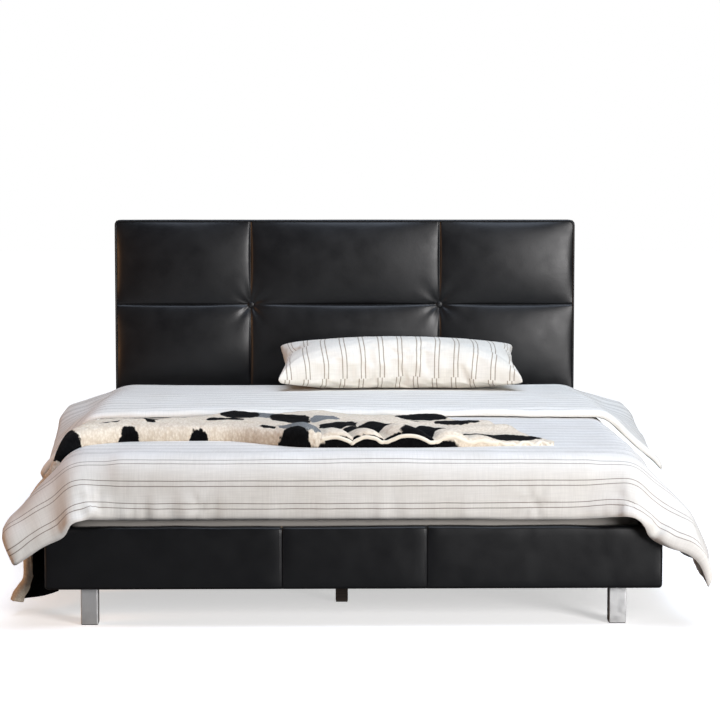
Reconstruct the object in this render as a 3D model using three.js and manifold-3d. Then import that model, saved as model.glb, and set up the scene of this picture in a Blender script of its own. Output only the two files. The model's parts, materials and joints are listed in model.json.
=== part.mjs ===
// A low platform bed: an upright leather headboard in puffed panels with two tufts, padded
// leather rails on square chrome legs, a slatted base, and its bedding.
// Millimetres. X runs across the bed, +Y towards the headboard, +Z up. The origin is on the
// floor under the middle of the bed. Inside the bed group, Y = 0 is the foot rail's outer face.

import * as THREE from "three";
import { mergeVertices } from "three/addons/utils/BufferGeometryUtils.js";
import Module from "manifold-3d";

const wasm = await Module();
wasm.setup();

// ---------------------------------------------------------------- driving dimensions

const MATTRESS_WIDTH = 1520; // a queen mattress
const MATTRESS_LENGTH = 2030;
const MATTRESS_THICKNESS = 200;
const MATTRESS_CORNER = 50; // plan radius
const MATTRESS_EDGE = 18; // radius of the long edges
const MATTRESS_SIDE_ROOM = 9.1; // between the mattress and each side rail
const MATTRESS_FOOT_ROOM = 12.1;
const MATTRESS_HEAD_ROOM = 2; // to the crown of the headboard's puffed panels

const GAP = 0.3; // between pieces that touch

const FLOOR_CLEARANCE = 100; // floor to the underside of the rails
const RAIL_HEIGHT = 166;
const COVER = 3; // leather on its backing cloth
const RAIL_PADDING = 12;
const BOARD = 22; // rail boards
const COVER_RETURN = 60; // how far the leather turns down inside the rail
const RAIL_SEAM_X = 190; // sewn joins in the foot rail's leather
const SEAM_WIDTH = 3;
const SEAM_DEPTH = 1.5;

const HEADBOARD_HEIGHT = 1030; // floor to the top edge
const HEADBOARD_DEPTH = 85; // from the plane of the seams to the back
const PANEL_PUFF = 20; // how far each panel crowns out of that plane
const PANEL_SEAM_X = 333; // upright seams, either side of the middle
const PANEL_SEAM_DROP = 299; // top edge to the level seam, through the tufts
const PANEL_BOTTOM_DROP = 600; // top edge to where the puffed panels end, behind the mattress
const TUFT_DEPTH = 13; // how far a tuft is pulled in behind the seams
const TUFT_FLOOR = 14; // half width of the flat bottom of the pit
const TUFT_SPREAD = 35; // how quickly the leather comes back out of the pit
const TUFT_BUTTON_RADIUS = 11;
const TUFT_BUTTON_EDGE = 2.5;
const TUFT_BUTTON_HEIGHT = 5;
const PLYWOOD = 9;
const HEADBOARD_FOAM = 30; // behind the plane of the seams
const DUST_CLOTH = 2;
const FRAME_MEMBER = 60; // width of the posts and cross rails
const TUFT_RAIL = 80; // the wider cross rail that the tufts are tied to
const BACK_RETURN = 25; // how far the leather turns onto the back

const LEG = 45; // square tube
const LEG_WALL = 2;
const LEG_CORNER = 3; // outer radius
const LEG_IN_RAIL = 4; // how far the tube's plate stands above the rail's underside
const LEG_PLATE = 80;
const LEG_PLATE_THICKNESS = 3;
const LEG_SIDE_INSET = 90; // the bed's side to the leg's outer face
const LEG_BLOCK_INSET = 4; // the corner block's outer face to the leg
const GLIDE_FLANGE = 2;
const GLIDE_PLUG = 15;

const BLOCK = 122; // corner blocks, in plan
const BLOCK_CHAMFER = 45;
const BLOCK_LEDGE_ROOM = 2.7; // between a corner block and the slat ledge above it
const LEDGE_WIDTH = 25;
const LEDGE_HEIGHT = 30;

const SLAT_COUNT = 12;
const SLAT_WIDTH = 70;
const SLAT_THICKNESS = 12;
const SLAT_END_INSET = 40; // foot rail to the first slat
const SLAT_SIDE_ROOM = 3;
const SLAT_SEAT = 114.3; // underside of the rails to the top of the slats

const BEAM_WIDTH = 24;
const BEAM_HEIGHT = 68;
const HANGER_STEEL = 2;
const HANGER_WIDTH = 60;
const HANGER_REACH = 40; // how far the hanger carries the beam
const HEAD_RAIL_HEIGHT = 92;
const CENTRE_LEG = 34;
const CENTRE_LEG_COUNT = 3;
const CENTRE_LEG_INSET = 333; // beam's end to the middle of the first centre leg
const CENTRE_LEG_DROP = 7; // below the top of the beam
const FELT = 3;

const DUVET = 30; // thickness
const DUVET_LOFT = 5.4; // air between the mattress and the duvet
const DUVET_SIDE_FLAT = 30; // the side bend starts this far inside the mattress's side
const DUVET_SIDE_BEND = 120; // outer radius
const DUVET_SIDE_ANGLE = THREE.MathUtils.degToRad(70); // below level, where it hangs
const DUVET_FOOT_BEND = 55;
const DUVET_FOOT_ROOM = 3.3; // between the mattress's foot face and the duvet
const DUVET_HEM_LEFT = 175; // floor to hem
const DUVET_HEM_RIGHT = 95;
const DUVET_HEM_ABOVE_RAIL = 21; // at the foot
const DUVET_HEAD_INSET = 75; // headboard's seam plane and puff to the duvet's folded edge
const FOLD_BACK_TO_THROW = 80; // between the throw and the hem of the part turned back
const FOLD_BACK_THICKNESS = 28;
const FOLD_BACK_DROP = 110; // how far it hangs over the sides
const FOLD_BACK_EDGE = 25; // length of the step at its hem
const CORNER_BLEND = 3; // how sharply the side and foot drops meet

const THROW = 14;
const THROW_FOOT_INSET = 220; // foot rail's face to the throw's near edge
const THROW_WIDTH = 630;
const THROW_TIP_X = 540; // where its pointed end lies, right of the middle
const THROW_TIP_WIDTH = 150;
const THROW_TIP_SHIFT = 50;
const THROW_TAPER_X = 330;
const THROW_TUCK_BEND = 60; // radius where it swings in under the duvet's hem
const THROW_TUCK_ANGLE = THREE.MathUtils.degToRad(118);
const THROW_HEM = 20; // floor to its hanging edge
const LAY_GAP = 2; // bedding lying on bedding

const PILLOW_WIDTH = 820;
const PILLOW_DEPTH = 450;
const PILLOW_UPPER = 125; // seam to crown
const PILLOW_LOWER = 40; // seam to underside
const PILLOW_PULL = 0.05; // how much its sides pull in between the corners
const PILLOW_X = 180;
const PILLOW_HEAD_INSET = 40; // headboard's crown to the pillow

// ---------------------------------------------------------------- derived places

const railDepth = COVER + GAP + RAIL_PADDING + GAP + BOARD + GAP + COVER;
const halfWidth = MATTRESS_WIDTH / 2 + MATTRESS_SIDE_ROOM + railDepth;
const railTop = FLOOR_CLEARANCE + RAIL_HEIGHT;
const coreBottom = FLOOR_CLEARANCE + COVER + GAP; // of boards and padding inside the leather
const coreTop = railTop - COVER - GAP;
const paddingFace = COVER + GAP; // depths in from a rail's outer face
const boardFace = paddingFace + RAIL_PADDING + GAP;
const boardBack = boardFace + BOARD;
const insideBoard = boardBack + GAP; // where things fixed to a board begin
const insideLip = railDepth + GAP;

const mattressFoot = railDepth + MATTRESS_FOOT_ROOM;
const mattressHead = mattressFoot + MATTRESS_LENGTH;
const slatTop = FLOOR_CLEARANCE + SLAT_SEAT;
const mattressBottom = slatTop + GAP;
const mattressTop = mattressBottom + MATTRESS_THICKNESS;
const seamPlane = mattressHead + MATTRESS_HEAD_ROOM + PANEL_PUFF;
const bedLength = seamPlane + HEADBOARD_DEPTH;
const tuftZ = HEADBOARD_HEIGHT - PANEL_SEAM_DROP;
const panelBottom = HEADBOARD_HEIGHT - PANEL_BOTTOM_DROP;

const slatBottom = slatTop - SLAT_THICKNESS;
const bearerTop = slatBottom - GAP; // of the ledges and the centre beam
const ledgeBottom = bearerTop - LEDGE_HEIGHT;
const headRailBack = seamPlane - GAP;
const headRailFace = headRailBack - BOARD;
const blockBottom = FLOOR_CLEARANCE + LEG_IN_RAIL + LEG_PLATE_THICKNESS + GAP;
const blockHeight = ledgeBottom - BLOCK_LEDGE_ROOM - blockBottom;

const bed = new THREE.Group();
bed.position.y = -bedLength / 2;

// ---------------------------------------------------------------- materials

const paint = (color, roughness, metalness = 0) =>
  new THREE.MeshStandardMaterial({ color, roughness, metalness });

const leather = paint(0x16171a, 0.38);
const upholsteryFoam = paint(0xd8c88e, 0.9);
const boardWood = paint(0x9a774c, 0.7);
const plywood = paint(0xb8945f, 0.7);
const slatWood = paint(0xd7bb88, 0.6);
const darkWood = paint(0x3a2418, 0.55);
const chrome = paint(0xc9ccd0, 0.18, 1);
const steel = paint(0x8f9296, 0.45, 1);
const glideNylon = paint(0x1b1b1c, 0.6);
const felt = paint(0x3b3835, 0.95);
const dustCloth = paint(0x202022, 0.95);
const mattressCloth = paint(0xd9d9d7, 0.85);
const duvetLinen = paint(0xe9e6df, 0.85);
const pillowLinen = paint(0xe7e0d2, 0.85);
const throwWool = paint(0xcbb99c, 0.95);

// ---------------------------------------------------------------- building blocks

/** Adds a named mesh to the bed and returns it. */
function addMesh(name, geometry, material) {
  const mesh = new THREE.Mesh(geometry, material);
  mesh.name = name;
  bed.add(mesh);
  return mesh;
}

/** A box between two corners, left in place. */
function boxBetween([x0, y0, z0], [x1, y1, z1]) {
  const geometry = new THREE.BoxGeometry(x1 - x0, y1 - y0, z1 - z0);
  return geometry.translate((x0 + x1) / 2, (y0 + y1) / 2, (z0 + z1) / 2);
}

/** Adds a plain box between two corners. */
function addBox(name, material, low, high) {
  const size = high.map((value, i) => value - low[i]);
  const mesh = addMesh(name, new THREE.BoxGeometry(...size), material);
  mesh.position.set(...high.map((value, i) => (value + low[i]) / 2));
  return mesh;
}

/** Turns a span measured in from a bed's side into a span of x, on the left (-1) or right. */
function acrossFrom(side, outer, inner) {
  const xs = [side * (halfWidth - outer), side * (halfWidth - inner)];
  return [Math.min(...xs), Math.max(...xs)];
}

/** Makes a solid for joining and cutting from a closed geometry. */
function solidFrom(geometry) {
  const bare = geometry.clone();
  bare.deleteAttribute("normal");
  bare.deleteAttribute("uv");
  const merged = mergeVertices(bare, 1e-4);
  return new wasm.Manifold(
    new wasm.Mesh({
      numProp: 3,
      vertProperties: new Float32Array(merged.attributes.position.array),
      triVerts: new Uint32Array(merged.index.array),
    }),
  );
}

/** Turns a joined or cut solid back into a geometry. */
function geometryFrom(solid) {
  const { vertProperties, triVerts } = solid.getMesh();
  const geometry = new THREE.BufferGeometry();
  geometry.setAttribute("position", new THREE.BufferAttribute(vertProperties, 3));
  geometry.setIndex(new THREE.BufferAttribute(triVerts, 1));
  return geometry;
}

/** Cuts the given geometries out of a geometry. */
function cutOut(geometry, ...cutters) {
  return geometryFrom(cutters.reduce((rest, c) => rest.subtract(solidFrom(c)), solidFrom(geometry)));
}

/** Joins geometries that overlap into one. */
function join(first, ...others) {
  return geometryFrom(others.reduce((sum, g) => sum.add(solidFrom(g)), solidFrom(first)));
}

/** A square outline with rounded corners, centred on the origin. */
function roundedRectangle(Type, width, depth, radius) {
  const [x, y] = [width / 2 - radius, depth / 2 - radius];
  const outline = new Type();
  outline.absarc(x, y, radius, 0, Math.PI / 2);
  outline.absarc(-x, y, radius, Math.PI / 2, Math.PI);
  outline.absarc(-x, -y, radius, Math.PI, 1.5 * Math.PI);
  outline.absarc(x, -y, radius, 1.5 * Math.PI, 2 * Math.PI);
  outline.closePath();
  return outline;
}

/**
 * A closed solid between two grids of points that share their size: grid[row][column]. Seen from
 * outside, the upper grid's columns run to the right and its rows run up.
 */
function solidBetween(upper, lower) {
  const rows = upper.length;
  const columns = upper[0].length;
  const positions = [...upper.flat(), ...lower.flat()].flat();
  const at = (layer, r, c) => layer * rows * columns + r * columns + c;
  const faces = [];
  const quad = (a, b, c, d) => faces.push(a, b, c, a, c, d);
  for (let r = 0; r + 1 < rows; r++) {
    for (let c = 0; c + 1 < columns; c++) {
      quad(at(0, r, c), at(0, r, c + 1), at(0, r + 1, c + 1), at(0, r + 1, c));
      quad(at(1, r, c), at(1, r + 1, c), at(1, r + 1, c + 1), at(1, r, c + 1));
    }
  }
  for (let c = 0; c + 1 < columns; c++) {
    quad(at(0, 0, c), at(1, 0, c), at(1, 0, c + 1), at(0, 0, c + 1));
    quad(at(0, rows - 1, c + 1), at(1, rows - 1, c + 1), at(1, rows - 1, c), at(0, rows - 1, c));
  }
  for (let r = 0; r + 1 < rows; r++) {
    quad(at(0, r + 1, 0), at(1, r + 1, 0), at(1, r, 0), at(0, r, 0));
    quad(at(0, r, columns - 1), at(1, r, columns - 1), at(1, r + 1, columns - 1), at(0, r + 1, columns - 1));
  }
  const geometry = new THREE.BufferGeometry();
  geometry.setAttribute("position", new THREE.Float32BufferAttribute(positions, 3));
  geometry.setIndex(faces);
  return geometry;
}

/** Evenly spaced values from start to end, both included. */
function steps(start, end, count) {
  return Array.from({ length: count + 1 }, (_, i) => start + ((end - start) * i) / count);
}

// ---------------------------------------------------------------- rails

/** The foot rail: a board, its padding, and the leather wrapped over both. */
function buildFootRail() {
  const halfCore = halfWidth - COVER - GAP;
  const outer = boxBetween([-halfWidth, 0, FLOOR_CLEARANCE], [halfWidth, railDepth, railTop]);
  const inset = halfWidth - COVER;
  const hollow = boxBetween(
    [-inset, COVER, FLOOR_CLEARANCE + COVER],
    [inset, railDepth - COVER, railTop - COVER],
  );
  const windowInset = halfWidth - insideBoard;
  const window = boxBetween(
    [-windowInset, railDepth - 2 * COVER, FLOOR_CLEARANCE + COVER],
    [windowInset, railDepth + COVER, railTop - COVER_RETURN],
  );
  const seams = [-RAIL_SEAM_X, RAIL_SEAM_X].map((x) => {
    const notch = new THREE.Shape([
      new THREE.Vector2(x - SEAM_WIDTH / 2, -SEAM_DEPTH),
      new THREE.Vector2(x + SEAM_WIDTH / 2, -SEAM_DEPTH),
      new THREE.Vector2(x, SEAM_DEPTH),
    ]);
    const groove = new THREE.ExtrudeGeometry(notch, { depth: RAIL_HEIGHT + 2 * COVER, bevelEnabled: false });
    return groove.translate(0, 0, FLOOR_CLEARANCE - COVER);
  });
  addMesh("foot_rail_cover", cutOut(outer, hollow, window, ...seams), leather);
  addBox(
    "foot_rail_padding",
    upholsteryFoam,
    [-halfCore, paddingFace, coreBottom],
    [halfCore, paddingFace + RAIL_PADDING, coreTop],
  );
  addBox("foot_rail_board", boardWood, [-halfCore, boardFace, coreBottom], [halfCore, boardBack, coreTop]);
}

/** One side rail: board, padding, and leather that is open at its ends and inside, low down. */
function buildSideRail(name, side) {
  const [y0, y1] = [insideLip, headRailBack];
  const slab = (outerDepth, innerDepth, z0, z1, growY = 0) => {
    const [x0, x1] = acrossFrom(side, outerDepth, innerDepth);
    return [
      [x0, y0 - growY, z0],
      [x1, y1 + growY, z1],
    ];
  };
  const outer = boxBetween(...slab(0, railDepth, FLOOR_CLEARANCE, railTop));
  const hollow = boxBetween(
    ...slab(COVER, railDepth - COVER, FLOOR_CLEARANCE + COVER, railTop - COVER, COVER),
  );
  const window = boxBetween(
    ...slab(railDepth - 2 * COVER, railDepth + COVER, FLOOR_CLEARANCE + COVER, railTop - COVER_RETURN, COVER),
  );
  addMesh(`side_rail_cover_${name}`, cutOut(outer, hollow, window), leather);
  addBox(
    `side_rail_padding_${name}`,
    upholsteryFoam,
    ...slab(paddingFace, paddingFace + RAIL_PADDING, coreBottom, coreTop),
  );
  addBox(`side_rail_board_${name}`, boardWood, ...slab(boardFace, boardBack, coreBottom, coreTop));

  const [x0, x1] = acrossFrom(side, insideBoard, insideBoard + LEDGE_WIDTH);
  addBox(
    `slat_ledge_${name}`,
    boardWood,
    [x0, insideLip, ledgeBottom],
    [x1, headRailFace - GAP, bearerTop],
  );
}

/** The bare rail across the head end, between the side rails' boards. */
function buildHeadRail() {
  const x = halfWidth - insideBoard;
  addBox(
    "head_rail_board",
    boardWood,
    [-x, headRailFace, bearerTop - HEAD_RAIL_HEIGHT],
    [x, headRailBack, bearerTop],
  );
}

// ---------------------------------------------------------------- legs and corners

/** A square chrome tube with a mounting plate welded on, its plate reaching towards +Y. */
function legGeometry() {
  const height = FLOOR_CLEARANCE + LEG_IN_RAIL - GLIDE_FLANGE - GAP;
  const section = roundedRectangle(THREE.Shape, LEG, LEG, LEG_CORNER);
  section.holes.push(
    roundedRectangle(THREE.Path, LEG - 2 * LEG_WALL, LEG - 2 * LEG_WALL, LEG_CORNER - LEG_WALL),
  );
  const tube = new THREE.ExtrudeGeometry(section, { depth: height, bevelEnabled: false, curveSegments: 3 });
  const plate = boxBetween(
    [-LEG_PLATE / 2, -LEG / 2, height - LEG_WALL / 4],
    [LEG_PLATE / 2, LEG_PLATE - LEG / 2, height + LEG_PLATE_THICKNESS],
  );
  return join(tube, plate);
}

/** A nylon glide: a flange under the tube and a plug that fills its mouth. */
function glideGeometry() {
  const foot = roundedRectangle(THREE.Shape, LEG - 2, LEG - 2, LEG_CORNER - 1);
  const plugWidth = LEG - 2 * LEG_WALL - 2 * GAP;
  const plug = roundedRectangle(THREE.Shape, plugWidth, plugWidth, LEG_CORNER - LEG_WALL);
  const options = { bevelEnabled: false, curveSegments: 3 };
  return join(
    new THREE.ExtrudeGeometry(foot, { ...options, depth: GLIDE_FLANGE }),
    new THREE.ExtrudeGeometry(plug, { ...options, depth: GLIDE_FLANGE + GLIDE_PLUG }),
  );
}

/** A corner block that ties two rails together and carries a leg, its square corner at 0, 0. */
function cornerBlockGeometry() {
  const outline = new THREE.Shape();
  outline.moveTo(0, 0);
  outline.lineTo(BLOCK, 0);
  outline.lineTo(BLOCK, BLOCK - BLOCK_CHAMFER);
  outline.lineTo(BLOCK - BLOCK_CHAMFER, BLOCK);
  outline.lineTo(0, BLOCK);
  outline.closePath();
  return new THREE.ExtrudeGeometry(outline, { depth: blockHeight, bevelEnabled: false });
}

/** A leg, its glide and its corner block, at each corner. */
function buildCorners() {
  const leg = legGeometry();
  const glide = glideGeometry();
  const block = cornerBlockGeometry();
  const legX = halfWidth - LEG_SIDE_INSET - LEG / 2;
  const blockX = halfWidth - insideBoard;
  const ends = [
    { end: "front", face: insideBoard, inward: 1 },
    { end: "rear", face: headRailFace - GAP, inward: -1 },
  ];
  for (const { end, face, inward } of ends) {
    for (const [name, side] of [["left", -1], ["right", 1]]) {
      const legY = face + inward * (LEG_BLOCK_INSET + LEG / 2);
      const turned = inward > 0 ? 0 : Math.PI;
      const legMesh = addMesh(`leg_${end}_${name}`, leg, chrome);
      legMesh.position.set(side * legX, legY, GLIDE_FLANGE + GAP);
      legMesh.rotation.z = turned;
      addMesh(`leg_glide_${end}_${name}`, glide, glideNylon).position.set(side * legX, legY, 0);

      const blockMesh = addMesh(`corner_block_${end}_${name}`, block, boardWood);
      blockMesh.position.set(side * blockX, face, blockBottom);
      // the block's square corner turns to each corner of the bed in quarter turns
      const quarters = side < 0 ? (inward > 0 ? 0 : 3) : inward > 0 ? 1 : 2;
      blockMesh.rotation.z = (quarters * Math.PI) / 2;
    }
  }
}

// ---------------------------------------------------------------- slatted base

/** A steel hanger that holds one end of the centre beam, its back plate on y = 0. */
function hangerGeometry() {
  const inner = BEAM_WIDTH / 2 + GAP;
  const outer = inner + HANGER_STEEL;
  const seat = -BEAM_HEIGHT - GAP;
  const plate = boxBetween([-HANGER_WIDTH / 2, 0, seat - HANGER_STEEL], [HANGER_WIDTH / 2, HANGER_STEEL, 0]);
  const tray = boxBetween([-outer, HANGER_STEEL / 2, seat - HANGER_STEEL], [outer, HANGER_REACH, 0]);
  const slot = boxBetween([-inner, HANGER_STEEL, seat], [inner, HANGER_REACH + GAP, GAP]);
  return cutOut(join(plate, tray), slot);
}

/** The beam along the middle, its two hangers and the legs bolted to its side. */
function buildCentreBeam() {
  const plateDepth = HANGER_STEEL + GAP;
  const [beamFoot, beamHead] = [insideBoard + plateDepth, headRailFace - GAP - plateDepth];
  addBox(
    "centre_beam",
    boardWood,
    [-BEAM_WIDTH / 2, beamFoot, bearerTop - BEAM_HEIGHT],
    [BEAM_WIDTH / 2, beamHead, bearerTop],
  );

  const hanger = hangerGeometry();
  addMesh("beam_hanger_foot", hanger, steel).position.set(0, insideBoard, bearerTop);
  const headHanger = addMesh("beam_hanger_head", hanger, steel);
  headHanger.position.set(0, headRailFace - GAP, bearerTop);
  headHanger.rotation.z = Math.PI;

  const right = -BEAM_WIDTH / 2 - GAP;
  const legYs = steps(beamFoot + CENTRE_LEG_INSET, beamHead - CENTRE_LEG_INSET, CENTRE_LEG_COUNT - 1);
  legYs.forEach((y, i) => {
    const [y0, y1] = [y - CENTRE_LEG / 2, y + CENTRE_LEG / 2];
    addBox(
      `centre_leg_${i + 1}`,
      darkWood,
      [right - CENTRE_LEG, y0, FELT + GAP],
      [right, y1, bearerTop - CENTRE_LEG_DROP],
    );
    addBox(`felt_pad_${i + 1}`, felt, [right - CENTRE_LEG + 1, y0 + 1, 0], [right - 1, y1 - 1, FELT]);
  });
}

/** The slats, evenly spaced along the ledges. */
function buildSlats() {
  const halfSlat = halfWidth - railDepth - SLAT_SIDE_ROOM;
  const starts = steps(
    railDepth + SLAT_END_INSET,
    headRailBack - SLAT_END_INSET - SLAT_WIDTH,
    SLAT_COUNT - 1,
  );
  starts.forEach((y, i) => {
    const name = `slat_${String(i + 1).padStart(2, "0")}`;
    addBox(name, slatWood, [-halfSlat, y, slatBottom], [halfSlat, y + SLAT_WIDTH, slatTop]);
  });
}

// ---------------------------------------------------------------- headboard

const columnSeams = [-halfWidth, -PANEL_SEAM_X, PANEL_SEAM_X, halfWidth];
const rowSeams = [panelBottom, tuftZ, HEADBOARD_HEIGHT];

/** Where a value stands between the seams either side of it, from -1 to 1; 1 outside them. */
function placeBetween(seams, value) {
  const next = seams.findIndex((seam) => value < seam);
  if (next < 1) return 1;
  const [a, b] = [seams[next - 1], seams[next]];
  return (2 * (value - a)) / (b - a) - 1;
}

/** The leather's depth in Y at a point of the headboard's front. */
function headboardFace(x, z) {
  const puff = (t) => 1 - t ** 4;
  const crown = PANEL_PUFF * puff(placeBetween(columnSeams, x)) * puff(placeBetween(rowSeams, z));
  const fromTuft = Math.max(Math.abs(Math.abs(x) - PANEL_SEAM_X), Math.abs(z - tuftZ));
  const pull = Math.exp(-((Math.max(fromTuft - TUFT_FLOOR, 0) / TUFT_SPREAD) ** 2));
  return seamPlane + TUFT_DEPTH * pull - crown * (1 - pull);
}

/** Grid lines that follow the seams: on each seam, close beside it, and twice across a panel. */
function panelLines(seams) {
  const near = [TUFT_FLOOR, 2.2 * TUFT_FLOOR, 4.5 * TUFT_FLOOR, 7.5 * TUFT_FLOOR];
  const lines = seams.slice(0, -1).flatMap((a, i) => {
    const b = seams[i + 1];
    return [a, ...near.map((n) => a + n), (a + b) / 2, ...near.map((n) => b - n).reverse()];
  });
  return [...lines, seams.at(-1)];
}

/** A block with the headboard's puffed front, set in from its outline, back to a flat plane. */
function puffedBlock(inset, back) {
  const within = (lines, low, high) => [low, ...lines.filter((v) => v > low + 1 && v < high - 1), high];
  const xs = within(panelLines(columnSeams), -halfWidth + inset, halfWidth - inset);
  const zs = within(panelLines(rowSeams), FLOOR_CLEARANCE + inset, HEADBOARD_HEIGHT - inset);
  const front = zs.map((z) => xs.map((x) => [x, headboardFace(x, z) + inset, z]));
  const rear = zs.map((z) => xs.map((x) => [x, back, z]));
  return solidBetween(front, rear);
}

/** The headboard: timber frame, plywood face, foam, tufts, leather and the cloth on its back. */
function buildHeadboard() {
  const core = COVER + GAP;
  const coreX = halfWidth - core;
  const [coreZ0, coreZ1] = [FLOOR_CLEARANCE + core, HEADBOARD_HEIGHT - core];
  const foamBack = seamPlane + HEADBOARD_FOAM;
  const plyFace = foamBack + GAP;
  const frameFace = plyFace + PLYWOOD + GAP;
  const frameBack = bedLength - COVER - GAP;

  const hollow = puffedBlock(COVER, bedLength - COVER);
  const windowX = halfWidth - BACK_RETURN - COVER;
  const window = boxBetween(
    [-windowX, frameBack - GAP, FLOOR_CLEARANCE + BACK_RETURN + COVER],
    [windowX, bedLength + COVER, HEADBOARD_HEIGHT - BACK_RETURN - COVER],
  );
  addMesh("headboard_cover", cutOut(puffedBlock(0, bedLength), hollow, window), leather);

  const clip = boxBetween([-halfWidth, 0, 0], [halfWidth, foamBack, HEADBOARD_HEIGHT]);
  const foam = solidFrom(puffedBlock(core, foamBack)).intersect(solidFrom(clip));
  addMesh("headboard_foam", geometryFrom(foam), upholsteryFoam);
  addBox("headboard_panel", plywood, [-coreX, plyFace, coreZ0], [coreX, plyFace + PLYWOOD, coreZ1]);

  const railX = coreX - FRAME_MEMBER - GAP;
  const members = [
    ["headboard_post_left", -coreX, -coreX + FRAME_MEMBER, coreZ0, coreZ1],
    ["headboard_post_right", coreX - FRAME_MEMBER, coreX, coreZ0, coreZ1],
    ["headboard_top_rail", -railX, railX, coreZ1 - FRAME_MEMBER, coreZ1],
    ["headboard_tuft_rail", -railX, railX, tuftZ - TUFT_RAIL / 2, tuftZ + TUFT_RAIL / 2],
    ["headboard_bottom_rail", -railX, railX, coreZ0, coreZ0 + FRAME_MEMBER],
  ];
  for (const [name, x0, x1, z0, z1] of members) {
    addBox(name, boardWood, [x0, frameFace, z0], [x1, frameBack, z1]);
  }

  const clothX = windowX - GAP;
  addBox(
    "headboard_back_cover",
    dustCloth,
    [-clothX, bedLength - COVER, FLOOR_CLEARANCE + BACK_RETURN + COVER + GAP],
    [clothX, bedLength - COVER + DUST_CLOTH, HEADBOARD_HEIGHT - BACK_RETURN - COVER - GAP],
  );

  const dome = steps(0, Math.PI / 2, 4).map(
    (angle) =>
      new THREE.Vector2(
        TUFT_BUTTON_RADIUS * Math.cos(angle),
        TUFT_BUTTON_EDGE + (TUFT_BUTTON_HEIGHT - TUFT_BUTTON_EDGE) * Math.sin(angle),
      ),
  );
  dome.at(-1).x = 0;
  const base = [new THREE.Vector2(0, 0), new THREE.Vector2(TUFT_BUTTON_RADIUS, 0)];
  const button = new THREE.LatheGeometry([...base, ...dome], 20);
  for (const [name, side] of [["left", -1], ["right", 1]]) {
    const mesh = addMesh(`tuft_button_${name}`, button, leather);
    mesh.position.set(side * PANEL_SEAM_X, seamPlane + TUFT_DEPTH - GAP, tuftZ);
    mesh.rotation.x = Math.PI; // its dome faces the foot
  }
}

// ---------------------------------------------------------------- bedding

const duvetTop = mattressTop + DUVET_LOFT + DUVET;
const duvetFlatX = MATTRESS_WIDTH / 2 - DUVET_SIDE_FLAT;
const duvetFootFace = mattressFoot - DUVET_FOOT_ROOM - DUVET;
const duvetHeadEdge = seamPlane - PANEL_PUFF - DUVET_HEAD_INSET;
const foldBackHem = THROW_FOOT_INSET + THROW_WIDTH + FOLD_BACK_TO_THROW;

/** How far a sheet hangs straight below a bend, for its outer face to reach a height. */
function hangLength(radius, angle, top, height) {
  return (top - height - radius * (1 - Math.cos(angle))) / Math.sin(angle);
}

/**
 * A sheet's path over an edge and down: flat, round a bend, then straight. Distance is counted
 * from where the bend starts, and each result is how far out and how far down that point lies.
 * offset moves the path out from the bend's own radius, or in when it is negative.
 */
function drape(distance, radius, angle, offset) {
  const bend = radius * angle;
  const turned = THREE.MathUtils.clamp(distance / radius, 0, angle);
  const straight = Math.max(distance - bend, 0);
  const flat = Math.min(distance, 0);
  return {
    out: flat + (radius + offset) * Math.sin(turned) + straight * Math.cos(turned),
    down: radius - (radius + offset) * Math.cos(turned) + straight * Math.sin(turned),
  };
}

/** The distances at which a drape has its rows of points. */
function drapeDistances(radius, angle, hang, bendSteps, hangSteps) {
  const bend = radius * angle;
  return [...steps(0, bend, bendSteps), ...steps(bend, bend + hang, hangSteps).slice(1)];
}

/** A mattress: a slab with round corners and rolled edges. */
function buildMattress() {
  const outline = roundedRectangle(
    THREE.Shape,
    MATTRESS_WIDTH - 2 * MATTRESS_EDGE,
    MATTRESS_LENGTH - 2 * MATTRESS_EDGE,
    MATTRESS_CORNER - MATTRESS_EDGE,
  );
  const slab = new THREE.ExtrudeGeometry(outline, {
    depth: MATTRESS_THICKNESS - 2 * MATTRESS_EDGE,
    bevelSize: MATTRESS_EDGE,
    bevelThickness: MATTRESS_EDGE,
    bevelSegments: 4,
    curveSegments: 5,
  });
  const mesh = addMesh("mattress", slab, mattressCloth);
  mesh.position.set(0, (mattressFoot + mattressHead) / 2, mattressBottom + MATTRESS_EDGE);
}

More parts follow.
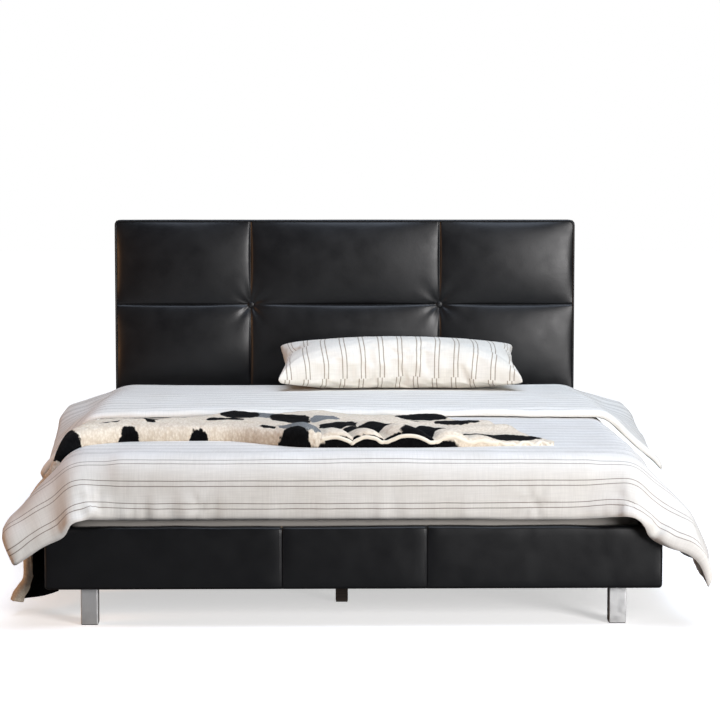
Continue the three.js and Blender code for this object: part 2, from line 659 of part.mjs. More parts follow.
/** The duvet: over the sides and the foot, with its head end turned back on top of itself. */
function buildDuvet() {
  const hangs = [DUVET_HEM_LEFT, DUVET_HEM_RIGHT].map((hem) =>
    hangLength(DUVET_SIDE_BEND, DUVET_SIDE_ANGLE, duvetTop, hem),
  );
  const [leftward, rightward] = hangs.map((hang) =>
    drapeDistances(DUVET_SIDE_BEND, DUVET_SIDE_ANGLE, hang, 5, 3),
  );
  const columns = [
    ...leftward.reverse().map((distance) => ({ side: -1, distance })),
    ...steps(-duvetFlatX, duvetFlatX, 6)
      .slice(1, -1)
      .map((x) => ({ side: Math.sign(x), distance: Math.abs(x) - duvetFlatX })),
    ...rightward.map((distance) => ({ side: 1, distance })),
  ];
  const footHang = hangLength(DUVET_FOOT_BEND, Math.PI / 2, duvetTop, railTop + DUVET_HEM_ABOVE_RAIL);
  const footBendY = duvetFootFace + DUVET_FOOT_BEND;
  const rows = [
    ...steps(duvetHeadEdge, foldBackHem + FOLD_BACK_EDGE, 3),
    ...steps(foldBackHem, footBendY, 3).slice(0, -1),
  ].map((y) => footBendY - y);
  rows.push(...drapeDistances(DUVET_FOOT_BEND, Math.PI / 2, footHang, 5, 2));
  rows.reverse();

  // the fold-back's extra thickness ends at its hem and part way down the sides
  const foldEnd = footBendY - foldBackHem;
  const foldBackAt = (rowDistance, sideDown) => {
    const along = THREE.MathUtils.clamp((-rowDistance + foldEnd) / FOLD_BACK_EDGE, 0, 1);
    return sideDown < FOLD_BACK_DROP ? FOLD_BACK_THICKNESS * along : 0;
  };

  const layer = (offset, withFold) =>
    rows.map((rowDistance) =>
      columns.map(({ side, distance }) => {
        const sideDown = drape(distance, DUVET_SIDE_BEND, DUVET_SIDE_ANGLE, 0).down;
        const extra = withFold ? foldBackAt(rowDistance, sideDown) : 0;
        const across = drape(distance, DUVET_SIDE_BEND, DUVET_SIDE_ANGLE, offset + extra);
        const along = drape(rowDistance, DUVET_FOOT_BEND, Math.PI / 2, offset);
        const drops = [across.down + offset + extra, along.down + offset].map((drop) => Math.max(drop, 0));
        const down = (drops[0] ** CORNER_BLEND + drops[1] ** CORNER_BLEND) ** (1 / CORNER_BLEND);
        return [
          side * (duvetFlatX + across.out),
          footBendY - along.out,
          duvetTop + offset + extra - down,
        ];
      }),
    );
  addMesh("duvet", solidBetween(layer(0, true), layer(-DUVET, false)), duvetLinen);
}

/** How far the duvet's right side reaches from the middle, which the throw's left side matches. */
function bedSpread() {
  const hang = hangLength(DUVET_SIDE_BEND, DUVET_SIDE_ANGLE, duvetTop, DUVET_HEM_RIGHT);
  const end = DUVET_SIDE_BEND * DUVET_SIDE_ANGLE + hang;
  return duvetFlatX + drape(end, DUVET_SIDE_BEND, DUVET_SIDE_ANGLE, 0).out;
}

/**
 * The throw's outer face, seen along the bed, from its tip to its hanging edge: flat, round the
 * side bend, straight down the duvet's side, then swung in under the duvet's hem. Each point has
 * its place from the duvet's top and how far the cloth has turned from level.
 */
function throwProfile() {
  const lift = LAY_GAP + THROW;
  const bend = DUVET_SIDE_BEND * DUVET_SIDE_ANGLE;
  const bendOut = (DUVET_SIDE_BEND + lift) * Math.sin(DUVET_SIDE_ANGLE);
  const tuckOut = THROW_TUCK_BEND * (1 - Math.sin(DUVET_SIDE_ANGLE));
  const widest = bedSpread() - duvetFlatX;
  const straight = (widest - bendOut - tuckOut) / Math.cos(DUVET_SIDE_ANGLE);

  const onTop = [THROW_TIP_X, THROW_TAPER_X, 0, -duvetFlatX / 2].map((x) => ({ x, z: lift, turned: 0 }));
  const overSide = drapeDistances(DUVET_SIDE_BEND, DUVET_SIDE_ANGLE, straight, 5, 2).map((distance) => {
    const { out, down } = drape(distance, DUVET_SIDE_BEND, DUVET_SIDE_ANGLE, lift);
    return { x: -duvetFlatX - out, z: -down, turned: Math.min(distance, bend) / DUVET_SIDE_BEND };
  });
  const low = overSide.at(-1);
  const tuck = steps(DUVET_SIDE_ANGLE, THROW_TUCK_ANGLE, 3).slice(1).map((turned) => ({
    x: low.x - THROW_TUCK_BEND * (Math.sin(turned) - Math.sin(DUVET_SIDE_ANGLE)),
    z: low.z - THROW_TUCK_BEND * (Math.cos(DUVET_SIDE_ANGLE) - Math.cos(turned)),
    turned,
  }));
  const tucked = tuck.at(-1);
  const fall = duvetTop + tucked.z - THROW_HEM;
  const hem = {
    x: tucked.x + fall / Math.tan(Math.PI - THROW_TUCK_ANGLE),
    z: tucked.z - fall,
    turned: THROW_TUCK_ANGLE,
  };
  return [...onTop, ...overSide, ...tuck, hem];
}

/** The throw, lying across the bed from its pointed end and hanging down the left side. */
function buildThrow() {
  const profile = throwProfile();
  /** The throw's near and far edges at a point across the bed: it narrows to its tip. */
  const edgesAt = (x) => {
    const taper = THREE.MathUtils.clamp((x - THROW_TAPER_X) / (THROW_TIP_X - THROW_TAPER_X), 0, 1);
    const near = THROW_FOOT_INSET + THROW_TIP_SHIFT * taper;
    return [near, near + THREE.MathUtils.lerp(THROW_WIDTH, THROW_TIP_WIDTH, taper)];
  };
  const layer = (depth) =>
    profile.map(({ x, z, turned }) =>
      steps(...edgesAt(x), 3).map((y) => [
        x + depth * Math.sin(turned),
        y,
        duvetTop + z - depth * Math.cos(turned),
      ]),
    );
  addMesh("throw", solidBetween(layer(0), layer(THROW)), throwWool);
}

/** The pillow: plump above its seam, flatter where it rests, its sides pulled in. */
function buildPillow() {
  const rest = duvetTop + FOLD_BACK_THICKNESS + LAY_GAP;
  const centreY = seamPlane - PANEL_PUFF - PILLOW_HEAD_INSET - PILLOW_DEPTH / 2;
  const places = [-1, -0.94, -0.82, -0.6, -0.3, 0, 0.3, 0.6, 0.82, 0.94, 1];
  const side = (height) =>
    places.map((v) =>
      places.map((u) => {
        const full = Math.sqrt((1 - Math.abs(u) ** 3) * (1 - Math.abs(v) ** 3));
        return [
          PILLOW_X + (PILLOW_WIDTH / 2) * u * (1 - PILLOW_PULL * (1 - v * v)),
          centreY + (PILLOW_DEPTH / 2) * v * (1 - PILLOW_PULL * (1 - u * u)),
          rest + PILLOW_LOWER + height * full,
        ];
      }),
    );
  addMesh("pillow", solidBetween(side(PILLOW_UPPER), side(-PILLOW_LOWER)), pillowLinen);
}

// ---------------------------------------------------------------- assembly

buildFootRail();
buildSideRail("left", -1);
buildSideRail("right", 1);
buildHeadRail();
buildCorners();
buildCentreBeam();
buildSlats();
buildHeadboard();
buildMattress();
buildDuvet();
buildThrow();
buildPillow();

const part = new THREE.Group();
part.add(bed);
export default part;
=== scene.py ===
"""A low platform bed with an upright, panelled leather headboard, and its mattress, duvet, throw and pillow."""

import json
import logging
import math
from contextlib import contextmanager
from dataclasses import dataclass
from enum import Enum
from typing import Any, Callable, Iterator

import bmesh
import bpy
import numpy as np
from mathutils import Matrix, Vector
from mathutils.bvhtree import BVHTree

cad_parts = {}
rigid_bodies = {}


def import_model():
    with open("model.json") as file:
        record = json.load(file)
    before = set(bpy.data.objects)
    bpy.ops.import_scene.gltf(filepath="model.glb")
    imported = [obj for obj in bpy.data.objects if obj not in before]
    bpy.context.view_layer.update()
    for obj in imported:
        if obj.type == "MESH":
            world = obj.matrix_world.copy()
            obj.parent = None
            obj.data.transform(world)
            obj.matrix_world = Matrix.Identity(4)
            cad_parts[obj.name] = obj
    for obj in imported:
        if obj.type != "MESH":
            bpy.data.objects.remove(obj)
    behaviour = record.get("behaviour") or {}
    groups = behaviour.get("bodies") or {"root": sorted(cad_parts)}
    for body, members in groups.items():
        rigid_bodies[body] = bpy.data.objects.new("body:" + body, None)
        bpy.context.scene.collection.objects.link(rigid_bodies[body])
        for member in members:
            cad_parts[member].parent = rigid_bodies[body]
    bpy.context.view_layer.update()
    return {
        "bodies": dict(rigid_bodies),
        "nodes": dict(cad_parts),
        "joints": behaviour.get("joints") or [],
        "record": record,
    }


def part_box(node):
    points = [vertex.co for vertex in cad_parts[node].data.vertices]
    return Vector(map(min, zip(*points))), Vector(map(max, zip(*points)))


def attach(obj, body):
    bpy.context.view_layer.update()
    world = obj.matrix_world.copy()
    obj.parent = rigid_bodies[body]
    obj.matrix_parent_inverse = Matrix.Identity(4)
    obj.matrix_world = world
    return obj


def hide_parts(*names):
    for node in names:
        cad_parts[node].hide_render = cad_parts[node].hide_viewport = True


LOG = logging.getLogger("bed")
FOOT = -1.095  # Y of the foot rail's outer face, from which the bedding is measured

Places = Callable[[np.ndarray, np.ndarray], tuple[np.ndarray, np.ndarray]]


# ---------------------------------------------------------------- helpers


def linear(colour: str) -> tuple[float, float, float, float]:
    """Turns an sRGB hex colour, such as "1A1B1D", into the linear colour that a shader takes."""
    parts = [int(colour[i : i + 2], 16) / 255 for i in (0, 2, 4)]
    return (*[c / 12.92 if c <= 0.04045 else ((c + 0.055) / 1.055) ** 2.4 for c in parts], 1.0)


def add_node(
    tree: bpy.types.NodeTree, kind: str, sockets: dict[str | int, Any] | None = None, **settings: Any
) -> bpy.types.Node:
    """Adds a shader node, sets it up and links it.

    Args:
        tree: The node tree of a material or of the world.
        kind: The node's type, without its "ShaderNode" start.
        sockets: Values for its inputs, or the outputs that they are linked to.
        settings: The node's own properties.

    Returns:
        The node.
    """
    node = tree.nodes.new("ShaderNode" + kind)
    for name, value in settings.items():
        setattr(node, name, value)
    for socket, value in (sockets or {}).items():
        if isinstance(value, bpy.types.NodeSocket):
            tree.links.new(value, node.inputs[socket])
        else:
            node.inputs[socket].default_value = value
    return node


def maths(tree: bpy.types.NodeTree, operation: str, *values: Any) -> bpy.types.NodeSocket:
    """The result of a sum on numbers or outputs."""
    return add_node(tree, "Math", dict(enumerate(values)), operation=operation).outputs[0]


def blended(tree: bpy.types.NodeTree, share: Any, first: Any, second: Any, way: str = "MIX") -> bpy.types.NodeSocket:
    """A colour that goes from the first to the second as share goes from 0 to 1."""
    return add_node(tree, "Mix", {0: share, 6: first, 7: second}, data_type="RGBA", blend_type=way).outputs[2]


def ranged(
    tree: bpy.types.NodeTree, value: Any, given: tuple[float, float], wanted: tuple[float, float] = (0.0, 1.0)
) -> bpy.types.NodeSocket:
    """A value moved from one range to another, and kept inside it."""
    ends = {"Value": value, "From Min": given[0], "From Max": given[1], "To Min": wanted[0], "To Max": wanted[1]}
    return add_node(tree, "MapRange", ends).outputs["Result"]


def noise(
    tree: bpy.types.NodeTree, where: Any, scale: float, detail: float, roughness: float = 0.5
) -> bpy.types.NodeSocket:
    """Soft clouds from 0 to 1."""
    sockets = {"Vector": where, "Scale": scale, "Detail": detail, "Roughness": roughness}
    return add_node(tree, "TexNoise", sockets).outputs["Fac"]


def bumped(tree: bpy.types.NodeTree, height: Any, strength: float, distance: float) -> bpy.types.NodeSocket:
    """A normal that follows a height, in metres at full strength."""
    return add_node(tree, "Bump", {"Height": height, "Strength": strength, "Distance": distance}).outputs["Normal"]


def finished(material: bpy.types.Material, sockets: dict[str | int, Any]) -> bpy.types.Material:
    """Ends a material with a principled shader that has these inputs."""
    shader = add_node(material.node_tree, "BsdfPrincipled", sockets)
    add_node(material.node_tree, "OutputMaterial", {"Surface": shader.outputs[0]})
    return material


def new_material(name: str) -> tuple[bpy.types.Material, bpy.types.NodeTree]:
    """Starts a material with an empty node tree."""
    material = bpy.data.materials.new(name)
    material.use_nodes = True
    material.node_tree.nodes.clear()
    return material, material.node_tree


def lattice_noise(u: np.ndarray, v: np.ndarray, seed: int) -> np.ndarray:
    """Smooth random heights from -1 to 1, with about one hump to each unit of u and v."""
    table = np.random.default_rng(seed).uniform(-1, 1, (97, 97))
    i, j = np.floor(u).astype(int), np.floor(v).astype(int)
    s, t = u - i, v - j
    s, t = s * s * (3 - 2 * s), t * t * (3 - 2 * t)

    def corner(a: np.ndarray, b: np.ndarray) -> np.ndarray:
        """The random height at whole numbers a and b; the table repeats."""
        return table[a % 97, b % 97]

    low = corner(i, j) * (1 - s) + corner(i + 1, j) * s
    high = corner(i, j + 1) * (1 - s) + corner(i + 1, j + 1) * s
    return low * (1 - t) + high * t


def smooth_step(x: np.ndarray, start: float, end: float) -> np.ndarray:
    """0 before start, 1 after end, and a smooth rise between them. start may be the larger."""
    t = np.clip((x - start) / (end - start), 0, 1)
    return t * t * (3 - 2 * t)


def hump(x: np.ndarray, centre: float, width: float) -> np.ndarray:
    """A bell of height 1 at centre, that has all but gone two widths away."""
    return np.exp(-(((x - centre) / width) ** 2))


def coordinates(mesh: bpy.types.Mesh) -> np.ndarray:
    """The mesh's vertices as rows of x, y and z."""
    flat = np.zeros(len(mesh.vertices) * 3, np.float32)
    mesh.vertices.foreach_get("co", flat)
    return flat.reshape(-1, 3).astype(float)


def set_coordinates(mesh: bpy.types.Mesh, points: np.ndarray) -> None:
    """Puts the mesh's vertices at new places."""
    mesh.vertices.foreach_set("co", points.astype(np.float32).ravel())
    mesh.update()


def normals(mesh: bpy.types.Mesh) -> np.ndarray:
    """The mesh's vertex normals as rows."""
    flat = np.zeros(len(mesh.vertices) * 3, np.float32)
    mesh.vertex_normals.foreach_get("vector", flat)
    return flat.reshape(-1, 3).astype(float)


def make_object(bm: bmesh.types.BMesh, name: str, material: bpy.types.Material) -> bpy.types.Object:
    """Turns a finished bmesh into a smooth-shaded object in the scene, and frees it."""
    mesh = bpy.data.meshes.new(name)
    bm.to_mesh(mesh)
    bm.free()
    mesh.materials.append(material)
    mesh.polygons.foreach_set("use_smooth", np.ones(len(mesh.polygons), bool))
    piece = bpy.data.objects.new(name, mesh)
    bpy.context.scene.collection.objects.link(piece)
    return piece


def surface(
    name: str, columns: int, rows: int, places: Places, material: bpy.types.Material, merge: bool = False
) -> bpy.types.Object:
    """Lays a grid of faces over a surface.

    Args:
        name: The object's name.
        columns: Faces along u.
        rows: Faces along v.
        places: Gives, for arrays of u and v from 0 to 1, the points and their place on the flat cloth, in metres.
        material: What it is made of.
        merge: Joins edges that come to the same place, as on a tube.

    Returns:
        The object, with the flat places as its UV map.
    """
    bm = bmesh.new()
    bmesh.ops.create_grid(bm, x_segments=columns, y_segments=rows, size=0.5)
    piece = make_object(bm, name, material)
    mesh = piece.data
    grid = coordinates(mesh)
    points, flat = places(grid[:, 0] + 0.5, grid[:, 1] + 0.5)
    set_coordinates(mesh, points)
    corners = np.zeros(len(mesh.loops), np.int32)
    mesh.loops.foreach_get("vertex_index", corners)
    layer = mesh.uv_layers.new(name="cloth")
    layer.data.foreach_set("uv", flat[corners].astype(np.float32).ravel())
    if merge:
        with edited(mesh) as bm:
            bmesh.ops.remove_doubles(bm, verts=bm.verts, dist=1e-6)
            bmesh.ops.recalc_face_normals(bm, faces=bm.faces)
    return piece


def tube(
    name: str, line: np.ndarray, radius: float, material: bpy.types.Material, closed: bool = False, sides: int = 8
) -> bpy.types.Object:
    """A round cord along a line of points: a piping, a hem's cord or a thread.

    Args:
        name: The object's name.
        line: The points of its centreline, as rows.
        radius: The cord's radius, in metres.
        material: What it is made of.
        closed: Whether the last point is joined to the first.
        sides: Faces round it.

    Returns:
        The object.
    """
    if closed:
        line = np.vstack([line, line[:1]])
    count = len(line) - 1
    ahead = np.roll(line, -1, 0) - line
    ahead[-1] = ahead[0] if closed else ahead[-2]
    tangent = ahead + np.vstack([ahead[-2:-1] if closed else ahead[:1], ahead[:-1]])
    tangent /= np.maximum(np.linalg.norm(tangent, axis=1), 1e-9)[:, None]
    spread = line.max(0) - line.min(0)
    side = np.zeros(3)
    side[int(np.argmin(spread))] = 1.0  # across the plane that the line mostly keeps to
    first = np.cross(tangent, side)
    first /= np.maximum(np.linalg.norm(first, axis=1), 1e-9)[:, None]
    second = np.cross(tangent, first)

    def places(u: np.ndarray, v: np.ndarray) -> tuple[np.ndarray, np.ndarray]:
        """The points round the line, and their place on the cord's skin."""
        index = np.rint(u * count).astype(int)
        angle = v * 2 * math.pi
        ends = 1.0 if closed else np.where((index == 0) | (index == count), 0.02, 1.0)
        around = first[index] * np.cos(angle)[:, None] + second[index] * np.sin(angle)[:, None]
        points = line[index] + around * (radius * ends if closed else (radius * ends)[:, None])
        return points, np.column_stack([u * count * radius, v * 2 * math.pi * radius])

    return surface(name, count, sides, places, material, merge=True)


def join(name: str, pieces: list[bpy.types.Object]) -> bpy.types.Object:
    """Makes several objects one, and names it."""
    bpy.ops.object.select_all(action="DESELECT")
    for piece in pieces:
        piece.select_set(True)
    bpy.context.view_layer.objects.active = pieces[0]
    bpy.ops.object.join()
    pieces[0].name = pieces[0].data.name = name
    return pieces[0]


def bake_modifiers(piece: bpy.types.Object) -> None:
    """Applies every modifier of a piece to its mesh."""
    graph = bpy.context.evaluated_depsgraph_get()
    mesh = bpy.data.meshes.new_from_object(piece.evaluated_get(graph))
    piece.modifiers.clear()
    old, piece.data = piece.data, mesh
    bpy.data.meshes.remove(old)
    mesh.name = piece.name


def subdivide(piece: bpy.types.Object, levels: int = 1) -> None:
    """Rounds a piece with a subdivision surface and applies it."""
    modifier = piece.modifiers.new("rounding", "SUBSURF")
    modifier.levels = modifier.render_levels = levels
    bake_modifiers(piece)


def give_thickness(piece: bpy.types.Object, thickness: float, share: np.ndarray) -> None:
    """Gives a sheet its thickness, inward from its face, with closed edges.

    Args:
        piece: The sheet.
        thickness: The most it has, in metres.
        share: How much of that each vertex has, from 0 to 1.
    """
    group = piece.vertex_groups.new(name="loft")
    for level in range(21):
        chosen = np.nonzero(np.rint(share * 20).astype(int) == level)[0]
        if len(chosen):
            group.add(chosen.tolist(), level / 20, "REPLACE")
    modifier = piece.modifiers.new("thickness", "SOLIDIFY")
    modifier.thickness = thickness
    modifier.offset = -1
    modifier.vertex_group = "loft"
    modifier.use_even_offset = False
    bake_modifiers(piece)
    piece.vertex_groups.clear()


def square_body(low: Vector, high: Vector) -> bmesh.types.BMesh:
    """A square box between two corners, as a bmesh."""
    bm = bmesh.new()
    bmesh.ops.create_cube(bm, size=1)
    bmesh.ops.scale(bm, vec=high - low, verts=bm.verts)
    bmesh.ops.translate(bm, vec=(low + high) / 2, verts=bm.verts)
    return bm


def box_body(low: Vector, high: Vector, rounding: float) -> bmesh.types.BMesh:
    """A rounded box between two corners, as a bmesh."""
    bm = square_body(low, high)
    bmesh.ops.bevel(
        bm, geom=bm.edges[:], offset=rounding, segments=5, profile=0.5, affect="EDGES", material=-1
    )
    return bm


@contextmanager
def edited(mesh: bpy.types.Mesh) -> Iterator[bmesh.types.BMesh]:
    """Opens a mesh for bmesh operators, and writes it back."""
    bm = bmesh.new()
    bm.from_mesh(mesh)
    yield bm
    bm.to_mesh(mesh)
    bm.free()


def cut_across(bm: bmesh.types.BMesh, axis: int, places: np.ndarray) -> None:
    """Cuts new edges through a body at each place along an axis, so that it can be shaped there."""
    for place in places:
        point, normal = Vector((0, 0, 0)), Vector((0, 0, 0))
        point[axis], normal[axis] = place, 1
        bmesh.ops.bisect_plane(bm, geom=bm.verts[:] + bm.edges[:] + bm.faces[:], plane_co=point, plane_no=normal)


def evenly(low: float, high: float, pitch: float) -> np.ndarray:
    """Places from low to high, without the ends, about pitch apart."""
    count = max(int(round((high - low) / pitch)), 1)
    return np.linspace(low, high, count + 1)[1:-1]


# ---------------------------------------------------------------- finishes


@dataclass(frozen=True)
class Leather:
    """Corrected-grain leather: sanded smooth, dyed black and sealed, so it shows long soft reflections."""

    name: str = "corrected_grain_leather_black"
    colour: str = "08080A"
    roughness: float = 0.37
    grain: float = 0.0026  # real grain is about 0.8 mm across, and is drawn coarser so that it shows
    mottle: float = 0.07  # the hide's own slow unevenness

    def make(self) -> bpy.types.Material:
        """Makes the material."""
        material, tree = new_material(self.name)
        where = add_node(tree, "TexCoord").outputs["Object"]
        grain = add_node(
            tree, "TexVoronoi", {"Vector": where, "Scale": 1 / self.grain, "Smoothness": 0.6}, feature="SMOOTH_F1"
        ).outputs["Distance"]
        slow = noise(tree, where, 1 / self.mottle, 4, 0.55)
        rough = ranged(tree, slow, (0.3, 0.7), (self.roughness - 0.04, self.roughness + 0.05))
        fine = bumped(tree, grain, 0.10, 0.0004)
        waved = add_node(
            tree, "Bump", {"Height": slow, "Strength": 0.12, "Distance": 0.004, "Normal": fine}
        ).outputs["Normal"]
        shade = blended(tree, slow, linear(self.colour), linear("0D0E10"))
        sockets = {
            "Base Color": shade, "Roughness": rough, "IOR": 1.5, "Specular IOR Level": 0.34, "Normal": waved,
        }
        return finished(material, sockets)


class Way(Enum):
    """Which way a stripe, a thread or a wood's grain runs."""

    ALONG = 0
    ACROSS = 1


@dataclass(frozen=True)
class Linen:
    """Washed linen: a plain weave of uneven threads, matt, with slubs, woven stripes in pairs."""

    name: str
    colour: str
    shade: str
    stripe: str
    first: float  # the first pair's middle, along the cloth
    pitch: float
    gap: float
    line: float
    stripes: Way
    wander: float = 0.0012

    def make(self) -> bpy.types.Material:
        """Makes the material."""
        material, tree = new_material(self.name)
        cloth = add_node(tree, "UVMap", uv_map="cloth").outputs["UV"]
        slubs = []
        for scale in ((260, 14, 1), (14, 260, 1)):  # threads are 0.7 mm, drawn nearer 3 mm so that they show
            stretched = add_node(tree, "Mapping", {"Vector": cloth, "Scale": scale}).outputs["Vector"]
            slubs.append(
                noise(tree, stretched, 1, 2)
            )
        weave = maths(tree, "MULTIPLY", slubs[0], slubs[1])
        clouds = noise(tree, cloth, 7, 3)
        blend = ranged(tree, clouds, (0.3, 0.7))
        ground = blended(tree, blend, linear(self.colour), linear(self.shade))
        split = add_node(tree, "SeparateXYZ", {"Vector": cloth})
        along = split.outputs[self.stripes.value]
        across = split.outputs[1 - self.stripes.value]
        waver = noise(tree, cloth, 9, 2)
        shifted = maths(tree, "MULTIPLY_ADD", waver, self.wander * 2, -self.first - self.wander)
        place = maths(tree, "ADD", along, shifted)
        wrapped = maths(tree, "WRAP", place, self.pitch / 2, -self.pitch / 2)
        middle = maths(tree, "ABSOLUTE", wrapped)
        off = maths(tree, "ADD", middle, -self.gap / 2)
        distance = maths(tree, "ABSOLUTE", off)
        threads = maths(tree, "MULTIPLY", across, 900.0)
        broken = add_node(
            tree, "TexNoise", {"W": threads, "Scale": 1, "Detail": 1}, noise_dimensions="1D"
        ).outputs["Fac"]
        dark = ranged(tree, distance, (self.line * 0.35, self.line * 0.75), (1.0, 0.0))
        inked = ranged(tree, broken, (0.0, 1.0), (0.7, 1.0))
        stripe = maths(tree, "MULTIPLY", dark, inked)
        striped = blended(tree, stripe, ground, linear(self.stripe))
        lit = ranged(tree, weave, (0.1, 0.45), (0.9, 1.03))
        toned = blended(tree, 1.0, striped, lit, "MULTIPLY")
        bump = bumped(tree, weave, 0.3, 0.0012)
        sockets = {
            "Base Color": toned, "Roughness": 0.88, "IOR": 1.45, "Specular IOR Level": 0.25, "Normal": bump,
            "Sheen Weight": 0.12, "Sheen Roughness": 0.5,
        }
        return finished(material, sockets)


@dataclass(frozen=True)
class Boucle:
    """Wool bouclé: a knit of small loops that reads as soft nubs, with dyed patches and painted shade between the
    loops.
    """

    name: str = "boucle_wool_spotted"
    colour: str = "CDBEAA"
    # tip is painted on the loop tops, and colour sinks into the hollows between them: painted highlight and shade.
    tip: str = "E6DCCC"
    spot: str = "050506"
    patch: str = "45484A"
    loop: float = 0.006  # loops are 3 mm, drawn at 6 mm so that they show
    spots: tuple[tuple[float, float, float, float, float], ...] = ()
    patches: tuple[tuple[float, float, float, float, float], ...] = ()

    def mask(
        self, tree: bpy.types.NodeTree, cloth: bpy.types.NodeSocket, ovals: tuple[tuple[float, ...], ...]
    ) -> bpy.types.NodeSocket:
        """The patches that a dye covers: ovals with ragged edges.

        Args:
            tree: The material's node tree.
            cloth: Where on the cloth, in metres.
            ovals: Each one's place along and across the cloth, its two half-sizes, and its turn in radians.

        Returns:
            An output that is 1 inside them.
        """
        nearest = None
        for along, across, half_along, half_across, turn in ovals:
            sockets = {
                "Vector": cloth,
                "Location": (along, across, 0),
                "Rotation": (0, 0, turn),
                "Scale": (half_along, half_across, 1),
            }
            local = add_node(tree, "Mapping", sockets, vector_type="TEXTURE").outputs["Vector"]
            far = add_node(tree, "VectorMath", {0: local}, operation="LENGTH").outputs["Value"]
            nearest = (
                far
                if nearest is None
                else maths(tree, "MINIMUM", nearest, far)
            )
        return ranged(tree, nearest, (0.97, 1.03), (1.0, 0.0))

    def make(self) -> bpy.types.Material:
        """Makes the material."""
        material, tree = new_material(self.name)
        cloth = add_node(tree, "UVMap", uv_map="cloth").outputs["UV"]
        loops = add_node(
            tree, "TexVoronoi", {"Vector": cloth, "Scale": 1 / self.loop, "Randomness": 1.0}
        ).outputs["Distance"]
        fuzz = noise(tree, cloth, 500, 3, 0.7)
        nub = maths(tree, "MULTIPLY_ADD", loops, -1.0, fuzz)
        ragged = add_node(tree, "TexNoise", {"Vector": cloth, "Scale": 60, "Detail": 3}).outputs["Color"]
        centred = add_node(tree, "VectorMath", {0: ragged, 1: (0.5, 0.5, 0.5)}, operation="SUBTRACT").outputs[0]
        nudge = add_node(tree, "VectorMath", {0: centred, "Scale": 0.022}, operation="SCALE").outputs[0]
        rough_cloth = add_node(tree, "VectorMath", {0: cloth, 1: nudge}, operation="ADD").outputs[0]
        # Painted shade: the wool is darker in the hollows between loops and lighter on their tops, following the bump's
        # height.
        tone = ranged(tree, nub, (-0.3, 0.6))
        wool = blended(tree, tone, linear(self.colour), linear(self.tip))
        if self.patches:
            mottled = ranged(tree, fuzz, (0.35, 0.65))
            grey = blended(tree, mottled, linear(self.patch), linear("8F9190"))
            wool = blended(tree, self.mask(tree, rough_cloth, self.patches), wool, grey)
        if self.spots:
            # The black spots get the same painted shade: darker in the hollows, lighter on the loop tops.
            black = blended(tree, tone, linear(self.spot), linear("0E0E0F"))
            wool = blended(tree, self.mask(tree, rough_cloth, self.spots), wool, black)
        bump = bumped(tree, nub, 0.6, 0.003)
        sockets = {
            "Base Color": wool, "Roughness": 0.95, "Specular IOR Level": 0.05, "Normal": bump,
            "Sheen Weight": 0.02, "Sheen Roughness": 0.6,
        }
        return finished(material, sockets)


@dataclass(frozen=True)
class Cotton:
    """Plain woven cotton or felt: matt, with a fine even weave."""

    name: str
    colour: str
    shade: str
    thread: float = 0.003  # threads are 0.4 mm, drawn coarser so that they show
    roughness: float = 0.9

    def make(self) -> bpy.types.Material:
        """Makes the material."""
        material, tree = new_material(self.name)
        where = add_node(tree, "TexCoord").outputs["Object"]
        weave = add_node(
            tree, "TexVoronoi", {"Vector": where, "Scale": 1 / self.thread, "Randomness": 0.45}
        ).outputs["Distance"]
        clouds = noise(tree, where, 11, 4)
        mixed = blended(tree, clouds, linear(self.colour), linear(self.shade))
        bump = bumped(tree, weave, 0.25, 0.0008)
        sockets = {
            "Base Color": mixed, "Roughness": self.roughness, "Specular IOR Level": 0.2, "Normal": bump,
            "Sheen Weight": 0.1,
        }
        return finished(material, sockets)


@dataclass(frozen=True)
class Wood:
    """Sawn and planed wood: long grain with darker late wood, under a thin matt seal."""

    name: str
    light: str
    dark: str
    grain: Way = Way.ALONG  # along X, or across, along Y
    ring: float = 0.009
    roughness: float = 0.55

    def make(self) -> bpy.types.Material:
        """Makes the material."""
        material, tree = new_material(self.name)
        where = add_node(tree, "TexCoord").outputs["Object"]
        squeeze = (0.06, 1, 1) if self.grain is Way.ALONG else (1, 0.06, 1)
        stretched = add_node(tree, "Mapping", {"Vector": where, "Scale": squeeze}).outputs["Vector"]
        warp = noise(tree, stretched, 14, 3)
        rings = add_node(
            tree,
            "TexWave",
            {"Vector": stretched, "Scale": 0.3 / self.ring, "Distortion": 5.0, "Detail": 3.0, "Detail Scale": 1.4},
            bands_direction="Z",
        ).outputs["Fac"]
        pores = noise(tree, stretched, 420, 2)
        both = maths(tree, "MULTIPLY", rings, warp)
        tone = maths(tree, "MULTIPLY_ADD", pores, 0.35, both)
        colour = blended(tree, tone, linear(self.light), linear(self.dark))
        bump = bumped(tree, pores, 0.2, 0.0005)
        return finished(material, {"Base Color": colour, "Roughness": self.roughness, "Normal": bump})


@dataclass(frozen=True)
class Metal:
    """Bare or plated steel: polished smooth or brushed, with faint scratches."""

    name: str
    colour: str
    roughness: float
    brush: float = 0.0012  # brush marks

    def make(self) -> bpy.types.Material:
        """Makes the material."""
        material, tree = new_material(self.name)
        where = add_node(tree, "TexCoord").outputs["Object"]
        stretched = add_node(tree, "Mapping", {"Vector": where, "Scale": (1, 1, 0.05)}).outputs["Vector"]
        marks = noise(tree, stretched, 1 / self.brush, 3, 0.6)
        handled = noise(tree, where, 60, 4)
        rough = ranged(tree, handled, (0.3, 0.7), (self.roughness - 0.05, self.roughness + 0.1))
        tone = blended(tree, marks, linear(self.colour), linear("C9CACB"))
        bump = bumped(tree, marks, 0.15, 0.0003)
        return finished(material, {"Base Color": tone, "Metallic": 0.72, "Roughness": rough, "Normal": bump})


